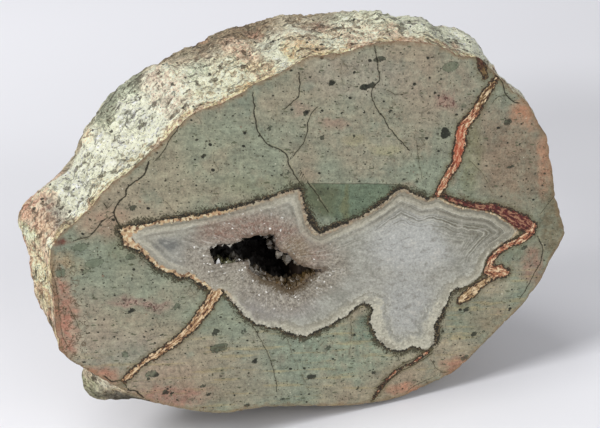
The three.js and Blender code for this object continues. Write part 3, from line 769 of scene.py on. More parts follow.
class Paint:
    """One material under construction. Places in it are in millimetres. On the cut face they are slanted, so
    that the saw marks, which fall to the right, run level in them."""

    def __init__(self, name, slant=0.0):
        self.material = bpy.data.materials.new(name)
        self.material.use_nodes = True
        self.tree = self.material.node_tree
        self.tree.nodes.clear()
        self.shader = self.tree.nodes.new("ShaderNodeBsdfPrincipled")
        end = self.tree.nodes.new("ShaderNodeOutputMaterial")
        self.tree.links.new(self.shader.outputs[0], end.inputs[0])
        coordinates = self.node("ShaderNodeTexCoord", out="Object")
        self.at = self.vector("SCALE", coordinates, scale=1 / MM)
        apart = self.node("ShaderNodeSeparateXYZ", None, {0: self.at}, out=None)
        self.x, self.y, self.z = (Socket(self, s) for s in apart.outputs)
        self.slant = slant
        if slant:
            self.level = self.z + self.x * slant
            self.at = self.node("ShaderNodeCombineXYZ", None, {0: self.x, 1: self.y, 2: self.level})

    def plug(self, socket, value):
        if isinstance(value, Socket):
            self.tree.links.new(value.socket, socket)
        else:
            socket.default_value = value

    def node(self, kind, settings=None, values=None, out=0):
        made = self.tree.nodes.new(kind)
        for name, value in (settings or {}).items():
            setattr(made, name, value)
        for name, value in (values or {}).items():
            self.plug(made.inputs[name], value)
        return made if out is None else Socket(self, made.outputs[out])

    def vector(self, operation, first, second=None, scale=None):
        values = {0: first}
        if second is not None:
            values[1] = second
        if scale is not None:
            values[3] = scale
        return self.node("ShaderNodeVectorMath", {"operation": operation}, values)

    def given(self, name):
        return self.node("ShaderNodeAttribute", {"attribute_name": name}, out="Fac")

    def noise(self, size, detail=3.0, rough=0.5, at=None, out=0, twist=0.0):
        values = {"Vector": at or self.at, "Scale": 1 / size, "Detail": detail, "Roughness": rough, "Distortion": twist}
        return self.node("ShaderNodeTexNoise", None, values, out)

    def cells(self, size, at=None, out="Distance", flat=False):
        values = {"Vector": at or self.at, "Scale": 1 / size}
        return self.node("ShaderNodeTexVoronoi", {"voronoi_dimensions": "2D" if flat else "3D"}, values, out)

    def net(self, size, thin, at=None):
        """1 on the lines between cells and 0 off them. The lines are about as wide as thin, in millimetres."""
        values = {"Vector": at or self.at, "Scale": 1 / size}
        edge = self.node("ShaderNodeTexVoronoi", {"feature": "DISTANCE_TO_EDGE"}, values, "Distance")
        return self.step(edge, thin / size, 0.3 * thin / size)

    def flat(self, at, long=1.0):
        """A place on the cut face in two numbers, for patterns that are longer along the saw marks."""
        apart = self.node("ShaderNodeSeparateXYZ", None, {0: at}, out=None)
        values = {0: Socket(self, apart.outputs[0]) / long, 1: Socket(self, apart.outputs[2])}
        return self.node("ShaderNodeCombineXYZ", None, values)

    def random(self, size, at, flat=False):
        """Two random numbers for each cell of a pattern."""
        apart = self.node("ShaderNodeSeparateColor", None, {0: self.cells(size, at, "Color", flat)}, None)
        return Socket(self, apart.outputs[0]), Socket(self, apart.outputs[1])

    def step(self, value, low, high):
        """0 below low and 1 above high, or the other way round where low is the larger."""
        values = {0: value, 1: low, 2: high}
        return self.node("ShaderNodeMapRange", {"interpolation_type": "SMOOTHSTEP"}, values)

    def mix(self, below, above, share):
        settings = {"data_type": "RGBA", "clamp_result": True}
        return self.node("ShaderNodeMix", settings, {0: share, 6: below, 7: above}, 2)

    def swirl(self, size, detail, at=None):
        """Three noises as one vector. They go one by one, because a colour that is used as a vector takes up
        more of the little memory that a large material has."""
        colour = self.noise(size, detail, 0.5, at, out=1)
        apart = self.node("ShaderNodeSeparateColor", None, {0: colour}, None)
        return self.node("ShaderNodeCombineXYZ", None, {i: Socket(self, p) for i, p in enumerate(apart.outputs)})

    def shaded(self, colour, tone):
        """The colour made darker or lighter."""
        return self.node("ShaderNodeHueSaturation", None, {"Value": tone, "Color": colour})

    def shift(self, size, much, seed=0.0):
        """The place moved about by noise, so that patterns read there have ragged edges."""
        off = self.vector("ADD", self.at, (seed, seed, seed)) if seed else None
        swirl = self.vector("SUBTRACT", self.swirl(size, 2.0, off), (0.5, 0.5, 0.5))
        return self.vector("ADD", self.at, self.vector("SCALE", swirl, scale=2 * much))

    def patch(self, x, z, wide, high, at, soft=0.5):
        """1 in the middle of a patch of the face and 0 outside it."""
        off = self.vector("SUBTRACT", at, (x, FACE, z + x * self.slant))
        off = self.vector("MULTIPLY", off, (1 / wide, 0.0, 1 / high))
        away = self.node("ShaderNodeVectorMath", {"operation": "LENGTH"}, {0: off}, 1)
        return self.step(away, 1 + soft, 1 - soft)

    def finish(self, **values):
        for name, value in values.items():
            self.plug(self.shader.inputs[name.replace("_", " ")], value)
        return self.material

    def bump(self, height, strength, distance):
        """A normal from a height in millimetres."""
        values = {"Strength": strength, "Distance": distance * MM, "Height": height}
        return self.node("ShaderNodeBump", None, values)


# Patches of colour on the rock's face: x, z, half width, half height, colour, share
PATCHES = [
    (15, 72, 20, 11, (128, 137, 119), 0.5),
    (-26, 70, 15, 10, (146, 145, 121), 0.5),
    (10, 84, 12, 5, (158, 148, 131), 0.6),
    (28, 79, 11, 8, (150, 135, 115), 0.7),
    (48, 57, 8.5, 13, (128, 110, 90), 0.85),
    (40, 67, 6, 7, (132, 114, 95), 0.6),
    (36.5, 60, 2.4, 9, (110, 110, 79), 0.6),
    (-11, 62.5, 10, 2.4, (124, 125, 99), 0.5),
    (-47, 61, 5, 3.6, (154, 126, 105), 0.7),
    (-43, 55, 3.5, 5, (106, 109, 85), 0.6),
    (-38, 42, 15, 9, (134, 139, 119), 0.55),
    (-45, 30, 9, 5, (152, 142, 126), 0.6),
    (-36, 20, 10, 5, (158, 134, 116), 0.6),
    (-20, 13, 12, 4, (150, 138, 118), 0.5),
    (-52, 37, 4.5, 9, (158, 144, 124), 0.7),
    (-24, 15, 14, 4.5, (132, 123, 102), 0.6),
    (-10, 19, 12, 9, (130, 137, 121), 0.5),
    (7, 17, 13, 8, (128, 143, 123), 0.75),
    (13, 21.5, 4, 4, (94, 119, 103), 0.7),
    (38, 20, 6, 6.5, (112, 125, 107), 0.75),
    (50, 34.5, 5, 2.8, (108, 115, 94), 0.7),
    (54, 30, 2.6, 4.8, (144, 108, 91), 0.75),
    (58.6, 40, 3.8, 10, (108, 96, 72), 0.85),
    (46, 16, 8, 3.8, (142, 125, 100), 0.6),
    (3.6, 74, 3, 1.3, (152, 122, 105), 0.6),
    (-3.4, 79.1, 3, 1.2, (152, 126, 109), 0.5),
    (8.7, 69.2, 3, 1.3, (150, 142, 105), 0.5),
    (16.2, 66.2, 4, 1.4, (150, 144, 109), 0.5),
    (30, 75, 2.8, 2.0, (144, 108, 96), 0.55),
    (-43.6, 42.1, 3, 1.4, (152, 126, 112), 0.7),
    (-40.1, 40.3, 3, 1.4, (152, 126, 112), 0.7),
    (-36.4, 38.6, 3, 1.3, (152, 126, 112), 0.7),
    (36, 6.5, 4, 2.2, (172, 116, 93), 0.7),
    (22, 2.6, 4.5, 1.6, (176, 118, 93), 0.7),
    (-34, 15.5, 8, 2.6, (156, 110, 95), 0.7),
    (49, 69, 3.4, 3.6, (172, 124, 95), 0.85),
    (55.5, 57, 2.0, 9, (164, 122, 95), 0.8),
    (-57, 41, 2.8, 12, (172, 116, 96), 0.85),
    (-51, 25, 4.5, 2.4, (176, 116, 92), 0.75),
    (-56, 53, 4, 2.6, (170, 150, 117), 0.7),
    (-56.4, 51.6, 1.4, 1.2, (104, 124, 112), 0.9),
    (-56.2, 58.8, 2.4, 1.1, (98, 48, 38), 0.9),
]


def rock_colour(paint):
    """The grey-green rock between the veins, with its clouds of pink, tan and teal."""
    cloud = paint.noise(22, 3, 0.5)
    other = paint.noise(9, 4, 0.6, paint.vector("ADD", paint.at, (14.0, 3.0, 40.0)))
    colour = paint.mix(tint(132, 138, 118), tint(150, 140, 118), paint.step(cloud, 0.42, 0.6))
    colour = paint.mix(colour, tint(148, 131, 110), paint.step(other, 0.54, 0.7) * 0.6)
    colour = paint.mix(colour, tint(118, 129, 113), paint.step(other, 0.45, 0.3) * 0.6)
    ragged = paint.shift(4.5, 2.6)
    mottled = paint.step(paint.noise(1.7, 5, 0.7), 0.36, 0.6)
    for x, z, wide, high, colours, share in PATCHES:
        here = paint.patch(x, z, wide, high, ragged) * share
        colour = paint.mix(colour, tint(*colours), here * (mottled * 0.5 + 0.5))
    # a darker teal wedge above the agate's notch, with a thin line as its upper edge
    off_line = paint.level - WEDGE_LEVEL + (other - 0.5) * 0.5
    below = paint.step(off_line, 0.12, -0.12)
    wedge = below * paint.patch(8.0, 56, 13, 6, ragged, 0.25)
    teal = paint.mix(tint(96, 112, 90), tint(76, 80, 54), paint.patch(0.5, 56, 4.5, 5, ragged) * 0.8)
    teal = paint.mix(teal, tint(96, 92, 52), paint.patch(6.8, 55, 1.0, 5, ragged) * 0.6)
    colour = paint.mix(colour, teal, wedge * 0.85)
    edge = paint.step(abs(off_line), 0.17, 0.03) * paint.patch(8.6, 59.3, 11, 3, paint.at, 0.15)
    colour = paint.mix(colour, tint(62, 62, 46), edge * 0.65)
    # dark red grains in the pinkish strip at the left, and faint yellow lines below
    strip = paint.patch(-42.6, 41.6, 3, 1.0, ragged, 0.4) + paint.patch(-37.8, 39.3, 3, 1.0, ragged, 0.4)
    strip = (strip + paint.patch(30, 75, 2.6, 1.8, ragged, 0.4)).least(1.0)
    grains = paint.step(paint.noise(0.8, 4, 0.7), 0.52, 0.57)
    colour = paint.mix(colour, tint(82, 52, 48), strip * grains * 0.85)
    drawn_out = paint.node("ShaderNodeCombineXYZ", None, {0: paint.x * 0.1, 1: paint.level})
    flow = paint.noise(1.5, 4, 0.6, drawn_out)
    colour = paint.mix(colour, tint(164, 148, 104), paint.step(flow, 0.54, 0.64) * paint.step(paint.z, 34, 26) * 0.4)
    # saw marks and fine grain
    sawn = paint.noise(0.7, 5, 0.7, drawn_out)
    fine = paint.noise(1.3, 6, 0.75)
    dust = paint.noise(0.36, 3, 0.7)
    marbled = paint.noise(3.6, 4, 0.6, paint.flat(paint.at, 1.8))
    tone = 1.06 + (sawn - 0.5) * 0.65 + (fine - 0.5) * 2.1 + (dust - 0.5) * 1.3 + (marbled - 0.5) * 1.0
    colour = paint.shaded(colour, tone)
    # hairline cracks here and there
    hairs = paint.net(8, 0.1, paint.shift(5, 2.6, 3)) * paint.step(other, 0.52, 0.62)
    return paint.mix(colour, tint(76, 72, 52), hairs * 0.45)


def specks(paint, colour, kinds, stray, flat):
    """Grains of other minerals: spacing, share of cells, largest radius, colour, share and how drawn out."""
    for size, chosen, largest, dark, share, long in kinds:
        at = paint.shift(size * 0.6, stray, size * 10)
        at = paint.flat(at, long) if flat else at
        red, green = paint.random(size, at, flat)
        radius = 0.1 / size + green * green * green * largest / size
        near = paint.step(paint.cells(size, at, "Distance", flat) - radius, 0.06 / size, -0.04 / size)
        colour = paint.mix(colour, tint(*dark), near * paint.step(red, chosen + 0.02, chosen) * share)
    return colour


FACE_SPECKS = (
    (2.9, 0.34, 0.24, (30, 30, 20), 0.95, 1.2),
    (1.5, 0.34, 0.12, (42, 38, 28), 0.9, 1.4),
    (0.8, 0.2, 0.09, (78, 74, 54), 0.8, 1.0),
    (1.3, 0.3, 0.12, (80, 84, 62), 0.8, 3.0),
    (6.2, 0.25, 0.5, (88, 94, 74), 0.5, 1.3),
    (4.4, 0.14, 0.3, (128, 84, 64), 0.5, 1.0),
    (3.3, 0.08, 0.05, (214, 208, 186), 0.8, 1.0),
)
SLANT = 0.205  # how much the saw marks fall for each millimetre to the right
WEDGE_LEVEL = 61.05  # of the wedge's upper edge, measured along the saw marks to x = 0


def face_paint():
    """The polished face: rock, veins, agate and the quartz round the hollow."""
    paint = Paint("polished_face", slant=SLANT)
    agate, hollow, rim = (paint.given(name) for name in ("agate", "hollow", "rim"))
    vein, tone, spot = (paint.given(name) for name in ("vein", "tone", "spot"))
    crack, crack_strength = paint.given("crack"), paint.given("crack_strength")
    grit = paint.noise(0.7, 3, 0.65)
    gritty = paint.noise(0.45, 3, 0.7)
    ragged = paint.noise(2.2, 4, 0.65)
    x, z = paint.x, paint.z

    colour = specks(paint, rock_colour(paint), FACE_SPECKS, 0.3, True)
    wobbly = spot - 0.1 + (ragged - 0.5) * 1.3 + (grit - 0.5) * 1.2
    blot = paint.step(wobbly, -0.07, 0.07)
    pale = paint.given("spot_tone")
    inner = paint.mix(tint(28, 30, 20), tint(100, 110, 88), paint.step(pale + (grit - 0.5) * 1.8, 0.1, 0.95))
    colour = paint.mix(colour, inner, blot * (0.95 - pale * 0.35))
    outline = paint.step(abs(wobbly), 0.18, 0.05) * paint.step(gritty, 0.42, 0.56)
    colour = paint.mix(colour, tint(50, 50, 38), outline * 0.7)

    # the edge, rusty and brown where the skin begins
    edge = rim + (ragged - 0.5) * 3.0 + (grit - 0.5) * 1.2
    colour = paint.mix(colour, tint(132, 106, 76), paint.step(edge, 1.2, 0.2) * 0.5)
    upper = paint.step(z - x * 0.25, 58, 72)
    border = paint.mix(tint(66, 56, 40), tint(118, 62, 44), upper)
    uneven_rim = 0.1 + paint.step(ragged, 0.42, 0.58) * 0.9
    colour = paint.mix(colour, border, paint.step(edge, 0.35, 0.05) * (0.45 + upper * 0.35) * uneven_rim)
    left_side = paint.patch(-56, 40, 4.5, 16, paint.at, 0.3)
    network = paint.step(abs(paint.noise(2.4, 3, 0.6, paint.shift(1.5, 0.8)) - 0.5), 0.03, 0.008)
    colour = paint.mix(colour, tint(84, 66, 46), network * left_side * 0.7)

    # cracks
    wavy = crack + (paint.noise(0.9, 3, 0.6) - 0.5) * 0.6
    strong = paint.step(crack_strength - (paint.noise(1.7, 3, 0.6) - 0.5) * 1.3, 0.05, 0.65)
    width = crack_strength * crack_strength * 0.17 - 0.03
    line = paint.step(abs(wavy) - width, 0.08, -0.02) * strong
    halo = paint.step(abs(wavy), 0.6, 0.1) * strong
    beside = paint.step(abs(wavy - width - 0.26), 0.14, 0.04) * strong
    colour = paint.mix(colour, tint(94, 86, 60), halo * 0.22)
    colour = paint.mix(colour, tint(176, 166, 132), beside * paint.step(ragged, 0.45, 0.6) * 0.35)
    colour = paint.mix(colour, tint(38, 34, 24), line * 0.92)

    # the dark crust round the agate, outside its outline, and the mossy grains beyond it
    uneven = agate + (ragged - 0.5) * 1.7 + (grit - 0.5) * 1.3 + (gritty - 0.5) * 0.8
    thick = (
        paint.patch(1.5, 50, 5, 4, paint.at, 0.4) * 0.9
        + paint.patch(30.6, 18.5, 1.8, 5, paint.at, 0.4) * 0.9
        + paint.patch(14, 55, 7, 3, paint.at, 0.4) * 0.4
        + paint.patch(-22, 59, 24, 2.5, paint.at, 0.4) * 0.25
    )
    lumps = paint.noise(3.0, 4, 0.6)
    spread = paint.step(uneven + thick * 0.6 + (lumps - 0.5) * 3, -2.2, -0.5)
    moss = paint.step(gritty + spread * 0.27, 0.62, 0.7) * paint.step(spread, 0.0, 0.15)
    bark = paint.mix(tint(34, 30, 20), tint(104, 90, 66), paint.step(gritty + (grit - 0.5) * 0.6, 0.48, 0.66))
    colour = paint.mix(colour, tint(92, 92, 64), spread * 0.5)
    colour = paint.mix(colour, tint(50, 46, 30), moss * 0.8)
    colour = paint.mix(colour, bark, paint.step(uneven + thick, -0.9, -0.55) * 0.95)

    # agate: fine bands along the outline, clearer towards the right and the top
    swayed = agate + (paint.noise(4.5, 3, 0.5) - 0.5) * 2.2
    one = {"noise_dimensions": "1D"}
    bands = paint.node("ShaderNodeTexNoise", one, {"W": swayed * 1.5, "Scale": 1.0, "Detail": 4.0, "Roughness": 0.6})
    broad = paint.node("ShaderNodeTexNoise", one, {"W": swayed * 0.45, "Scale": 1.0, "Detail": 1.0})
    cloudy = paint.noise(6, 5, 0.65)
    body = paint.mix(tint(142, 141, 129), tint(168, 167, 155), paint.step(cloudy, 0.38, 0.62))
    body = paint.mix(body, tint(172, 165, 143), paint.step(agate + (ragged - 0.5) * 3, 3.2, 0.8) * 0.6)
    body = paint.mix(body, tint(172, 168, 152), paint.patch(-37, 54.5, 7, 4, paint.shift(3, 1.2)) * 0.6)
    body = paint.mix(body, tint(134, 134, 128), paint.patch(-30, 50.5, 7, 3.4, paint.shift(3, 1.2)) * 0.55)
    body = paint.mix(body, tint(96, 98, 96), paint.patch(-34, 53.3, 2.8, 1.5, paint.shift(2, 0.9)) * 0.7)
    body = paint.mix(body, tint(146, 140, 137), paint.patch(-11, 34, 10, 4.6, paint.shift(3, 1.5)) * 0.6)
    body = paint.mix(body, tint(162, 160, 150), paint.patch(20, 32, 12, 11, paint.shift(4, 2)) * 0.5)
    body = paint.mix(body, tint(182, 183, 178), paint.patch(23, 42, 10, 7, paint.shift(4, 2)) * 0.75)
    body = paint.mix(body, tint(172, 173, 168), paint.patch(22, 26, 6, 8, paint.shift(4, 2)) * 0.6)
    body = paint.mix(body, tint(132, 130, 116), paint.patch(35, 43, 6, 5, paint.shift(4, 2)) * 0.6)
    body = paint.mix(body, tint(116, 113, 98), paint.patch(42.5, 41.8, 4.6, 4.2, paint.shift(3, 1.2)) * 0.7)
    body = paint.mix(body, tint(172, 170, 148), paint.patch(-20.5, 42, 2.2, 1.8, paint.shift(2, 1)) * 0.7)
    banded = (
        paint.patch(41, 42, 12, 8, paint.at, 0.35) * 1.3
        + paint.patch(21, 51, 13, 5, paint.at, 0.4)
        + paint.patch(0, 47, 9, 4.5, paint.at, 0.5) * 0.8
        + paint.patch(-20, 56.5, 20, 3.4, paint.at, 0.5) * 1.1
        + 0.1
    ) * paint.step(agate, 10.5, 6)
    body = paint.mix(body, tint(112, 108, 92), paint.step(bands, 0.51, 0.6) * banded * 0.6)
    body = paint.mix(body, tint(190, 187, 170), paint.step(bands, 0.46, 0.38) * banded * 0.55)
    body = paint.mix(body, tint(120, 117, 103), paint.step(broad, 0.5, 0.64) * banded * 0.45)
    low = paint.step(z, 44, 36)
    outer = agate + (ragged - 0.5) * 1.1
    body = paint.mix(body, tint(134, 124, 106), paint.step(outer, 1.2, 0.4) * (1 - low) * 0.6)
    body = paint.mix(body, tint(190, 184, 164), paint.step(abs(outer - 1.8), 0.6, 0.2) * (1 - low) * 0.5)
    body = paint.mix(body, tint(124, 118, 104), paint.step(abs(outer - 2.7), 0.4, 0.1) * (1 - low) * 0.35)
    body = paint.mix(body, tint(182, 178, 162), paint.step(abs(outer - 3.4), 0.5, 0.1) * (1 - low) * 0.35)
    frosted = agate + (lumps - 0.5) * 6 + (ragged - 0.5) * 2.2 + (grit - 0.5) * 1.6
    leg = paint.patch(22, 21, 11, 12, paint.at, 0.3)
    fuzzy = (0.1 + paint.step(lumps + (grit - 0.5) * 0.5, 0.36, 0.56) * 0.9) * low
    body = paint.mix(body, tint(188, 184, 165), paint.step(frosted - leg * 1.6, 1.5, 0.6) * fuzzy)
    body = paint.mix(body, tint(112, 108, 90), paint.step(abs(frosted - 2.0 - leg * 1.5), 0.5, 0.1) * fuzzy * 0.45)
    body = paint.mix(body, tint(178, 176, 162), paint.step(abs(frosted - 3.1 - leg), 0.7, 0.2) * fuzzy * 0.5)

    # needles that point away from the hollow
    spin = paint.node("ShaderNodeMath", {"operation": "ARCTAN2"}, {0: x - GATHERED[0], 1: z - GATHERED[1]})
    needles = paint.noise(1.0, 4, 0.7, paint.node("ShaderNodeCombineXYZ", None, {0: spin * 28, 1: hollow * 0.35}))

    # quartz grains round the hollow, pink above and to its right, brown at its edge, with painted glints
    pick, other_pick = paint.random(0.34, paint.flat(paint.shift(0.6, 0.2)), True)
    large_pick, _ = paint.random(0.8, paint.flat(paint.shift(0.9, 0.4)), True)
    painted_glint, _ = paint.random(0.34, paint.flat(paint.shift(0.5, 0.1, 9)), True)
    fade = paint.step(hollow + (ragged - 0.5) * 3, 8.0, 3.0)
    mauve = paint.mix(tint(104, 95, 82), tint(172, 165, 150), pick * 0.55 + large_pick * 0.45)
    pink = paint.patch(-18, 54.0, 12, 3.6, paint.shift(3, 1.2)) + paint.patch(-4, 46, 7, 5, paint.shift(3, 1.2)) * 0.7
    mauve = paint.mix(mauve, tint(132, 94, 78), pink * (0.4 + large_pick * 0.55))
    tan_side = paint.patch(-5, 45.5, 3.4, 3.6, paint.shift(2, 1.0))
    mauve = paint.mix(mauve, tint(126, 106, 78), tan_side * (0.4 + other_pick * 0.5))
    body = paint.mix(body, mauve, fade * 0.85)
    belt = paint.patch(-4, 36.2, 8, 2.2, paint.shift(2, 1.0), 0.4) + paint.patch(-13, 41.5, 4.5, 1.8, paint.at, 0.5) * 0.7
    body = paint.mix(body, tint(78, 64, 42), belt * (0.1 + large_pick * 0.5) * (0.4 + paint.step(ragged, 0.4, 0.55) * 0.6))
    body = paint.mix(body, tint(186, 178, 160), paint.net(0.8, 0.12, paint.shift(1.2, 0.8)) * fade * pick * 0.45)
    radiating = paint.step(agate, 2, 6) + fade * 0.5
    body = paint.mix(body, tint(194, 190, 178), paint.step(needles, 0.54, 0.64) * radiating * 0.42)
    body = paint.mix(body, tint(108, 102, 90), paint.step(needles, 0.46, 0.36) * radiating * 0.4)
    # painted glints: small white points on the quartz, more of them along the hollow's lower left edge
    glint_cluster = paint.patch(-19, 44, 8, 3, paint.at, 0.4) * 0.015
    body = paint.mix(body, tint(236, 234, 226), paint.step(painted_glint + glint_cluster, 0.988, 0.994) * fade * 0.9)
    body = paint.mix(body, tint(88, 78, 66), paint.step(other_pick, 0.08, 0.05) * fade * 0.5)
    brown = paint.step(hollow + (grit - 0.5) * 1.6, 1.3, 0.1) * (1 - paint.patch(-22, 50, 6, 5, paint.at, 0.4) * 0.7)
    body = paint.mix(body, tint(86, 68, 50), brown * 0.7)
    under = paint.step(hollow + (ragged - 0.5) * 3 + (other_pick - 0.5) * 1.5, 1.7, 0.5)
    body = paint.mix(body, tint(80, 66, 42), under * paint.patch(-7, 37.5, 11, 3.6, paint.at, 0.35) * 0.75)
    body = paint.shaded(body, 1.02 + (grit - 0.5) * 0.9 + (gritty - 0.5) * 0.9)

    # yellow, cream and orange grains along the agate's upper left edge
    left = paint.step(x, -14, -28) + paint.step(x, 24, 34) * 0.6
    blocks, blocks_two = paint.random(0.55, paint.flat(paint.shift(0.7, 0.4, 4)), True)
    peach = paint.mix(tint(188, 142, 102), tint(208, 182, 138), blocks)
    peach = paint.mix(peach, tint(228, 210, 170), paint.step(blocks_two, 0.72, 0.8))
    peach = paint.mix(peach, tint(112, 78, 52), paint.step(blocks_two, 0.3, 0.22))
    tip = paint.patch(-42.5, 57, 3.2, 3.2, paint.at, 0.5)
    inner = paint.step(uneven - left * 0.1 - tip * 1.0, 0.6, 0.35)
    body = paint.mix(body, peach, inner * (left + 0.35).least(1.0) * paint.step(z, 34, 42) * 0.85)
    stone = paint.step(uneven, -0.26, 0.0)
    colour = paint.mix(colour, body, stone)

    # veins: dark ragged margins round a middle that is streaked along the vein
    deep = vein - 0.05 + (ragged - 0.5) * 1.6 + (grit - 0.5) * 1.2 + (gritty - 0.5) * 0.8
    lengthways = paint.node("ShaderNodeCombineXYZ", None, {0: paint.given("across"), 1: paint.given("run") * 0.3})
    lengthways = paint.vector("ADD", lengthways, paint.vector("SCALE", paint.swirl(1.5, 3), scale=0.9))
    streak = paint.noise(0.5, 4, 0.65, lengthways)
    coarse = paint.noise(1.3, 5, 0.7, paint.vector("ADD", paint.at, (9.0, 9.0, 9.0)))
    middle = paint.mix(tint(168, 138, 98), tint(174, 110, 80), paint.step(tone, 0.1, 0.55))
    middle = paint.mix(middle, tint(98, 44, 40), paint.step(tone, 0.62, 0.85))
    middle = paint.mix(middle, tint(84, 54, 40), paint.step(tone, 0.88, 1.0))
    olive = paint.patch(39.5, 76, 3.4, 6, paint.at, 0.4)
    middle = paint.mix(middle, tint(116, 100, 62), olive * 0.8)
    light = paint.mix(tint(230, 206, 166), tint(206, 160, 122), paint.step(tone, 0.62, 0.85))
    dull = 1 - paint.step(tone, 0.62, 0.85) * 0.45 - paint.step(tone, 0.92, 1.0) * 0.4
    middle = paint.mix(middle, light, paint.step(streak, 0.52, 0.56) * 0.9 * dull)
    middle = paint.mix(middle, tint(66, 34, 28), paint.step(streak, 0.46, 0.42) * 0.9)
    middle = paint.mix(middle, tint(70, 46, 34), paint.step(coarse, 0.56, 0.62) * 0.75)
    vivid = paint.patch(33.2, 64, 1.6, 5, paint.at, 0.4)
    middle = paint.mix(middle, tint(184, 90, 62), vivid * paint.step(ragged, 0.35, 0.55) * 0.6)
    margin = paint.mix(tint(40, 30, 20), tint(108, 82, 56), paint.step(gritty, 0.48, 0.66))
    beyond = 1 - paint.step(agate, 0.1, 0.5)  # the agate lies over the ends of the veins
    colour = paint.mix(colour, tint(100, 92, 62), paint.step(deep, -1.3, -0.1) * beyond * 0.45)
    colour = paint.mix(colour, margin, paint.step(deep, -0.1, 0.1) * beyond * 0.95)
    colour = paint.mix(colour, middle, paint.step(deep, 0.45, 0.58) * beyond)

    rough = 0.36 - stone * 0.1 + (grit - 0.5) * 0.12 + line * 0.3
    height = grit * 0.25 - line * 0.6 - blot * 0.1 + ragged * 0.1
    paint.shader.inputs["Specular IOR Level"].default_value = 0.25
    return paint.finish(Base_Color=colour, Roughness=rough, Normal=paint.bump(height, 0.3, 0.15))


# Patches of colour on the rough skin: x, depth behind the face, z, radius and colour. The dark grey-brown ones 13 to 22
# mm behind the face along the top are partly the skin's colour and partly painted shade where the top turns away from
# the light; the near-black ones low at the left, by the lump, are painted shade.
SKIN_PATCHES = [
    (-36, 11, 81, 3.7, (220, 236, 212)), (-41, 8, 75, 6.2, (240, 242, 208)), (-52, 9, 65, 3.4, (250, 250, 222)),
    (-49, 12, 66, 3.1, (232, 238, 204)), (-46, 16, 74, 1.5, (200, 168, 138)), (-41, 19, 77, 2.5, (108, 112, 94)),
    (-38, 22, 79, 2.2, (98, 102, 86)), (-35, 18, 83, 2.2, (118, 120, 100)), (-22, 17, 87, 2.5, (140, 128, 106)),
    (-16, 19, 88, 2.5, (126, 110, 88)), (-9, 21, 88, 2.5, (130, 110, 86)), (-3, 20, 89, 2.5, (126, 108, 86)),
    (5, 20, 90, 2.5, (122, 104, 82)), (11, 20, 90, 2.2, (130, 116, 94)), (-25, 7, 85, 3.7, (214, 198, 170)),
    (-31, 9, 83, 2.8, (198, 178, 158)), (-22, 8, 86, 2.5, (172, 182, 158)), (-21, 2, 84, 2.8, (228, 216, 178)),
    (-16, 5, 86, 2.8, (222, 208, 170)), (-15, 0, 86, 1.2, (192, 150, 108)), (-9, 4, 87, 1.5, (204, 176, 138)),
    (-11, 8, 88, 2.2, (200, 176, 140)), (-12, 13, 89, 2.2, (190, 158, 134)), (-6, 21, 88, 1.2, (160, 124, 104)),
    (-6, 10, 89, 2.5, (214, 206, 180)), (-5, 3, 89, 2.5, (226, 230, 198)), (-1, 5, 91, 2.2, (192, 160, 120)),
    (-4, 6, 90, 1.5, (196, 164, 122)), (5, 3, 91, 1.9, (234, 226, 192)), (7, 15, 90, 1.5, (140, 112, 94)),
    (12, 12, 92, 2.8, (190, 194, 170)), (9, 6, 91, 2.8, (208, 184, 156)), (15, 6, 92, 2.5, (210, 188, 160)),
    (11, 1, 91, 1.9, (206, 180, 154)), (20, 11, 92, 3.1, (206, 218, 184)), (26, 11, 90, 3.1, (208, 220, 188)),
    (30, 7, 89, 3.1, (214, 224, 192)), (36, 8, 86, 2.8, (210, 224, 198)), (41, 7, 83, 2.2, (220, 232, 204)),
    (19, 3, 91, 2.2, (190, 162, 138)), (25, 1, 89, 1.9, (206, 184, 154)), (29, 1, 88, 1.5, (224, 210, 188)),
    (33, 4, 86, 0.9, (146, 104, 80)), (-60, 10, 61, 2.5, (168, 106, 86)), (-61, 9, 58, 1.9, (158, 96, 76)),
    (-58, 11, 62, 2.2, (204, 162, 136)), (-56, 12, 64, 1.9, (210, 176, 146)), (-52, 20, 63, 1.9, (174, 144, 124)),
    (-56, 5, 62, 2.4, (76, 62, 60)), (-59, 5, 59, 2.8, (176, 146, 120)), (-58, 2, 58, 1.9, (178, 150, 122)),
    (-58, 0, 58, 1.2, (228, 220, 196)), (-61, 8, 53, 1.9, (174, 136, 112)), (-60, 7, 51, 2.2, (196, 176, 140)),
    (-59, 6, 47, 1.9, (208, 198, 154)), (-59, 5, 42, 1.5, (168, 154, 116)), (-58, 5, 37, 1.2, (128, 114, 82)),
    (-50, 9, 19, 1.9, (112, 116, 84)), (-49, 7, 17, 1.5, (90, 90, 64)), (-47, 3, 18, 1.5, (60, 52, 38)),
    (-45, 2, 15.5, 2.2, (56, 52, 38)), (-42, 2, 13.5, 3.0, (50, 46, 34)), (-61.5, 10, 56, 1.8, (190, 200, 160)),
]
SKIN_SPECKS = (
    (1.9, 0.36, 0.4, (46, 44, 34), 0.9, 1),
    (1.0, 0.45, 0.18, (58, 50, 36), 0.9, 1),
    (5.0, 0.25, 0.7, (70, 70, 58), 0.75, 1),
    (0.6, 0.3, 0.06, (96, 82, 60), 0.8, 1),
)


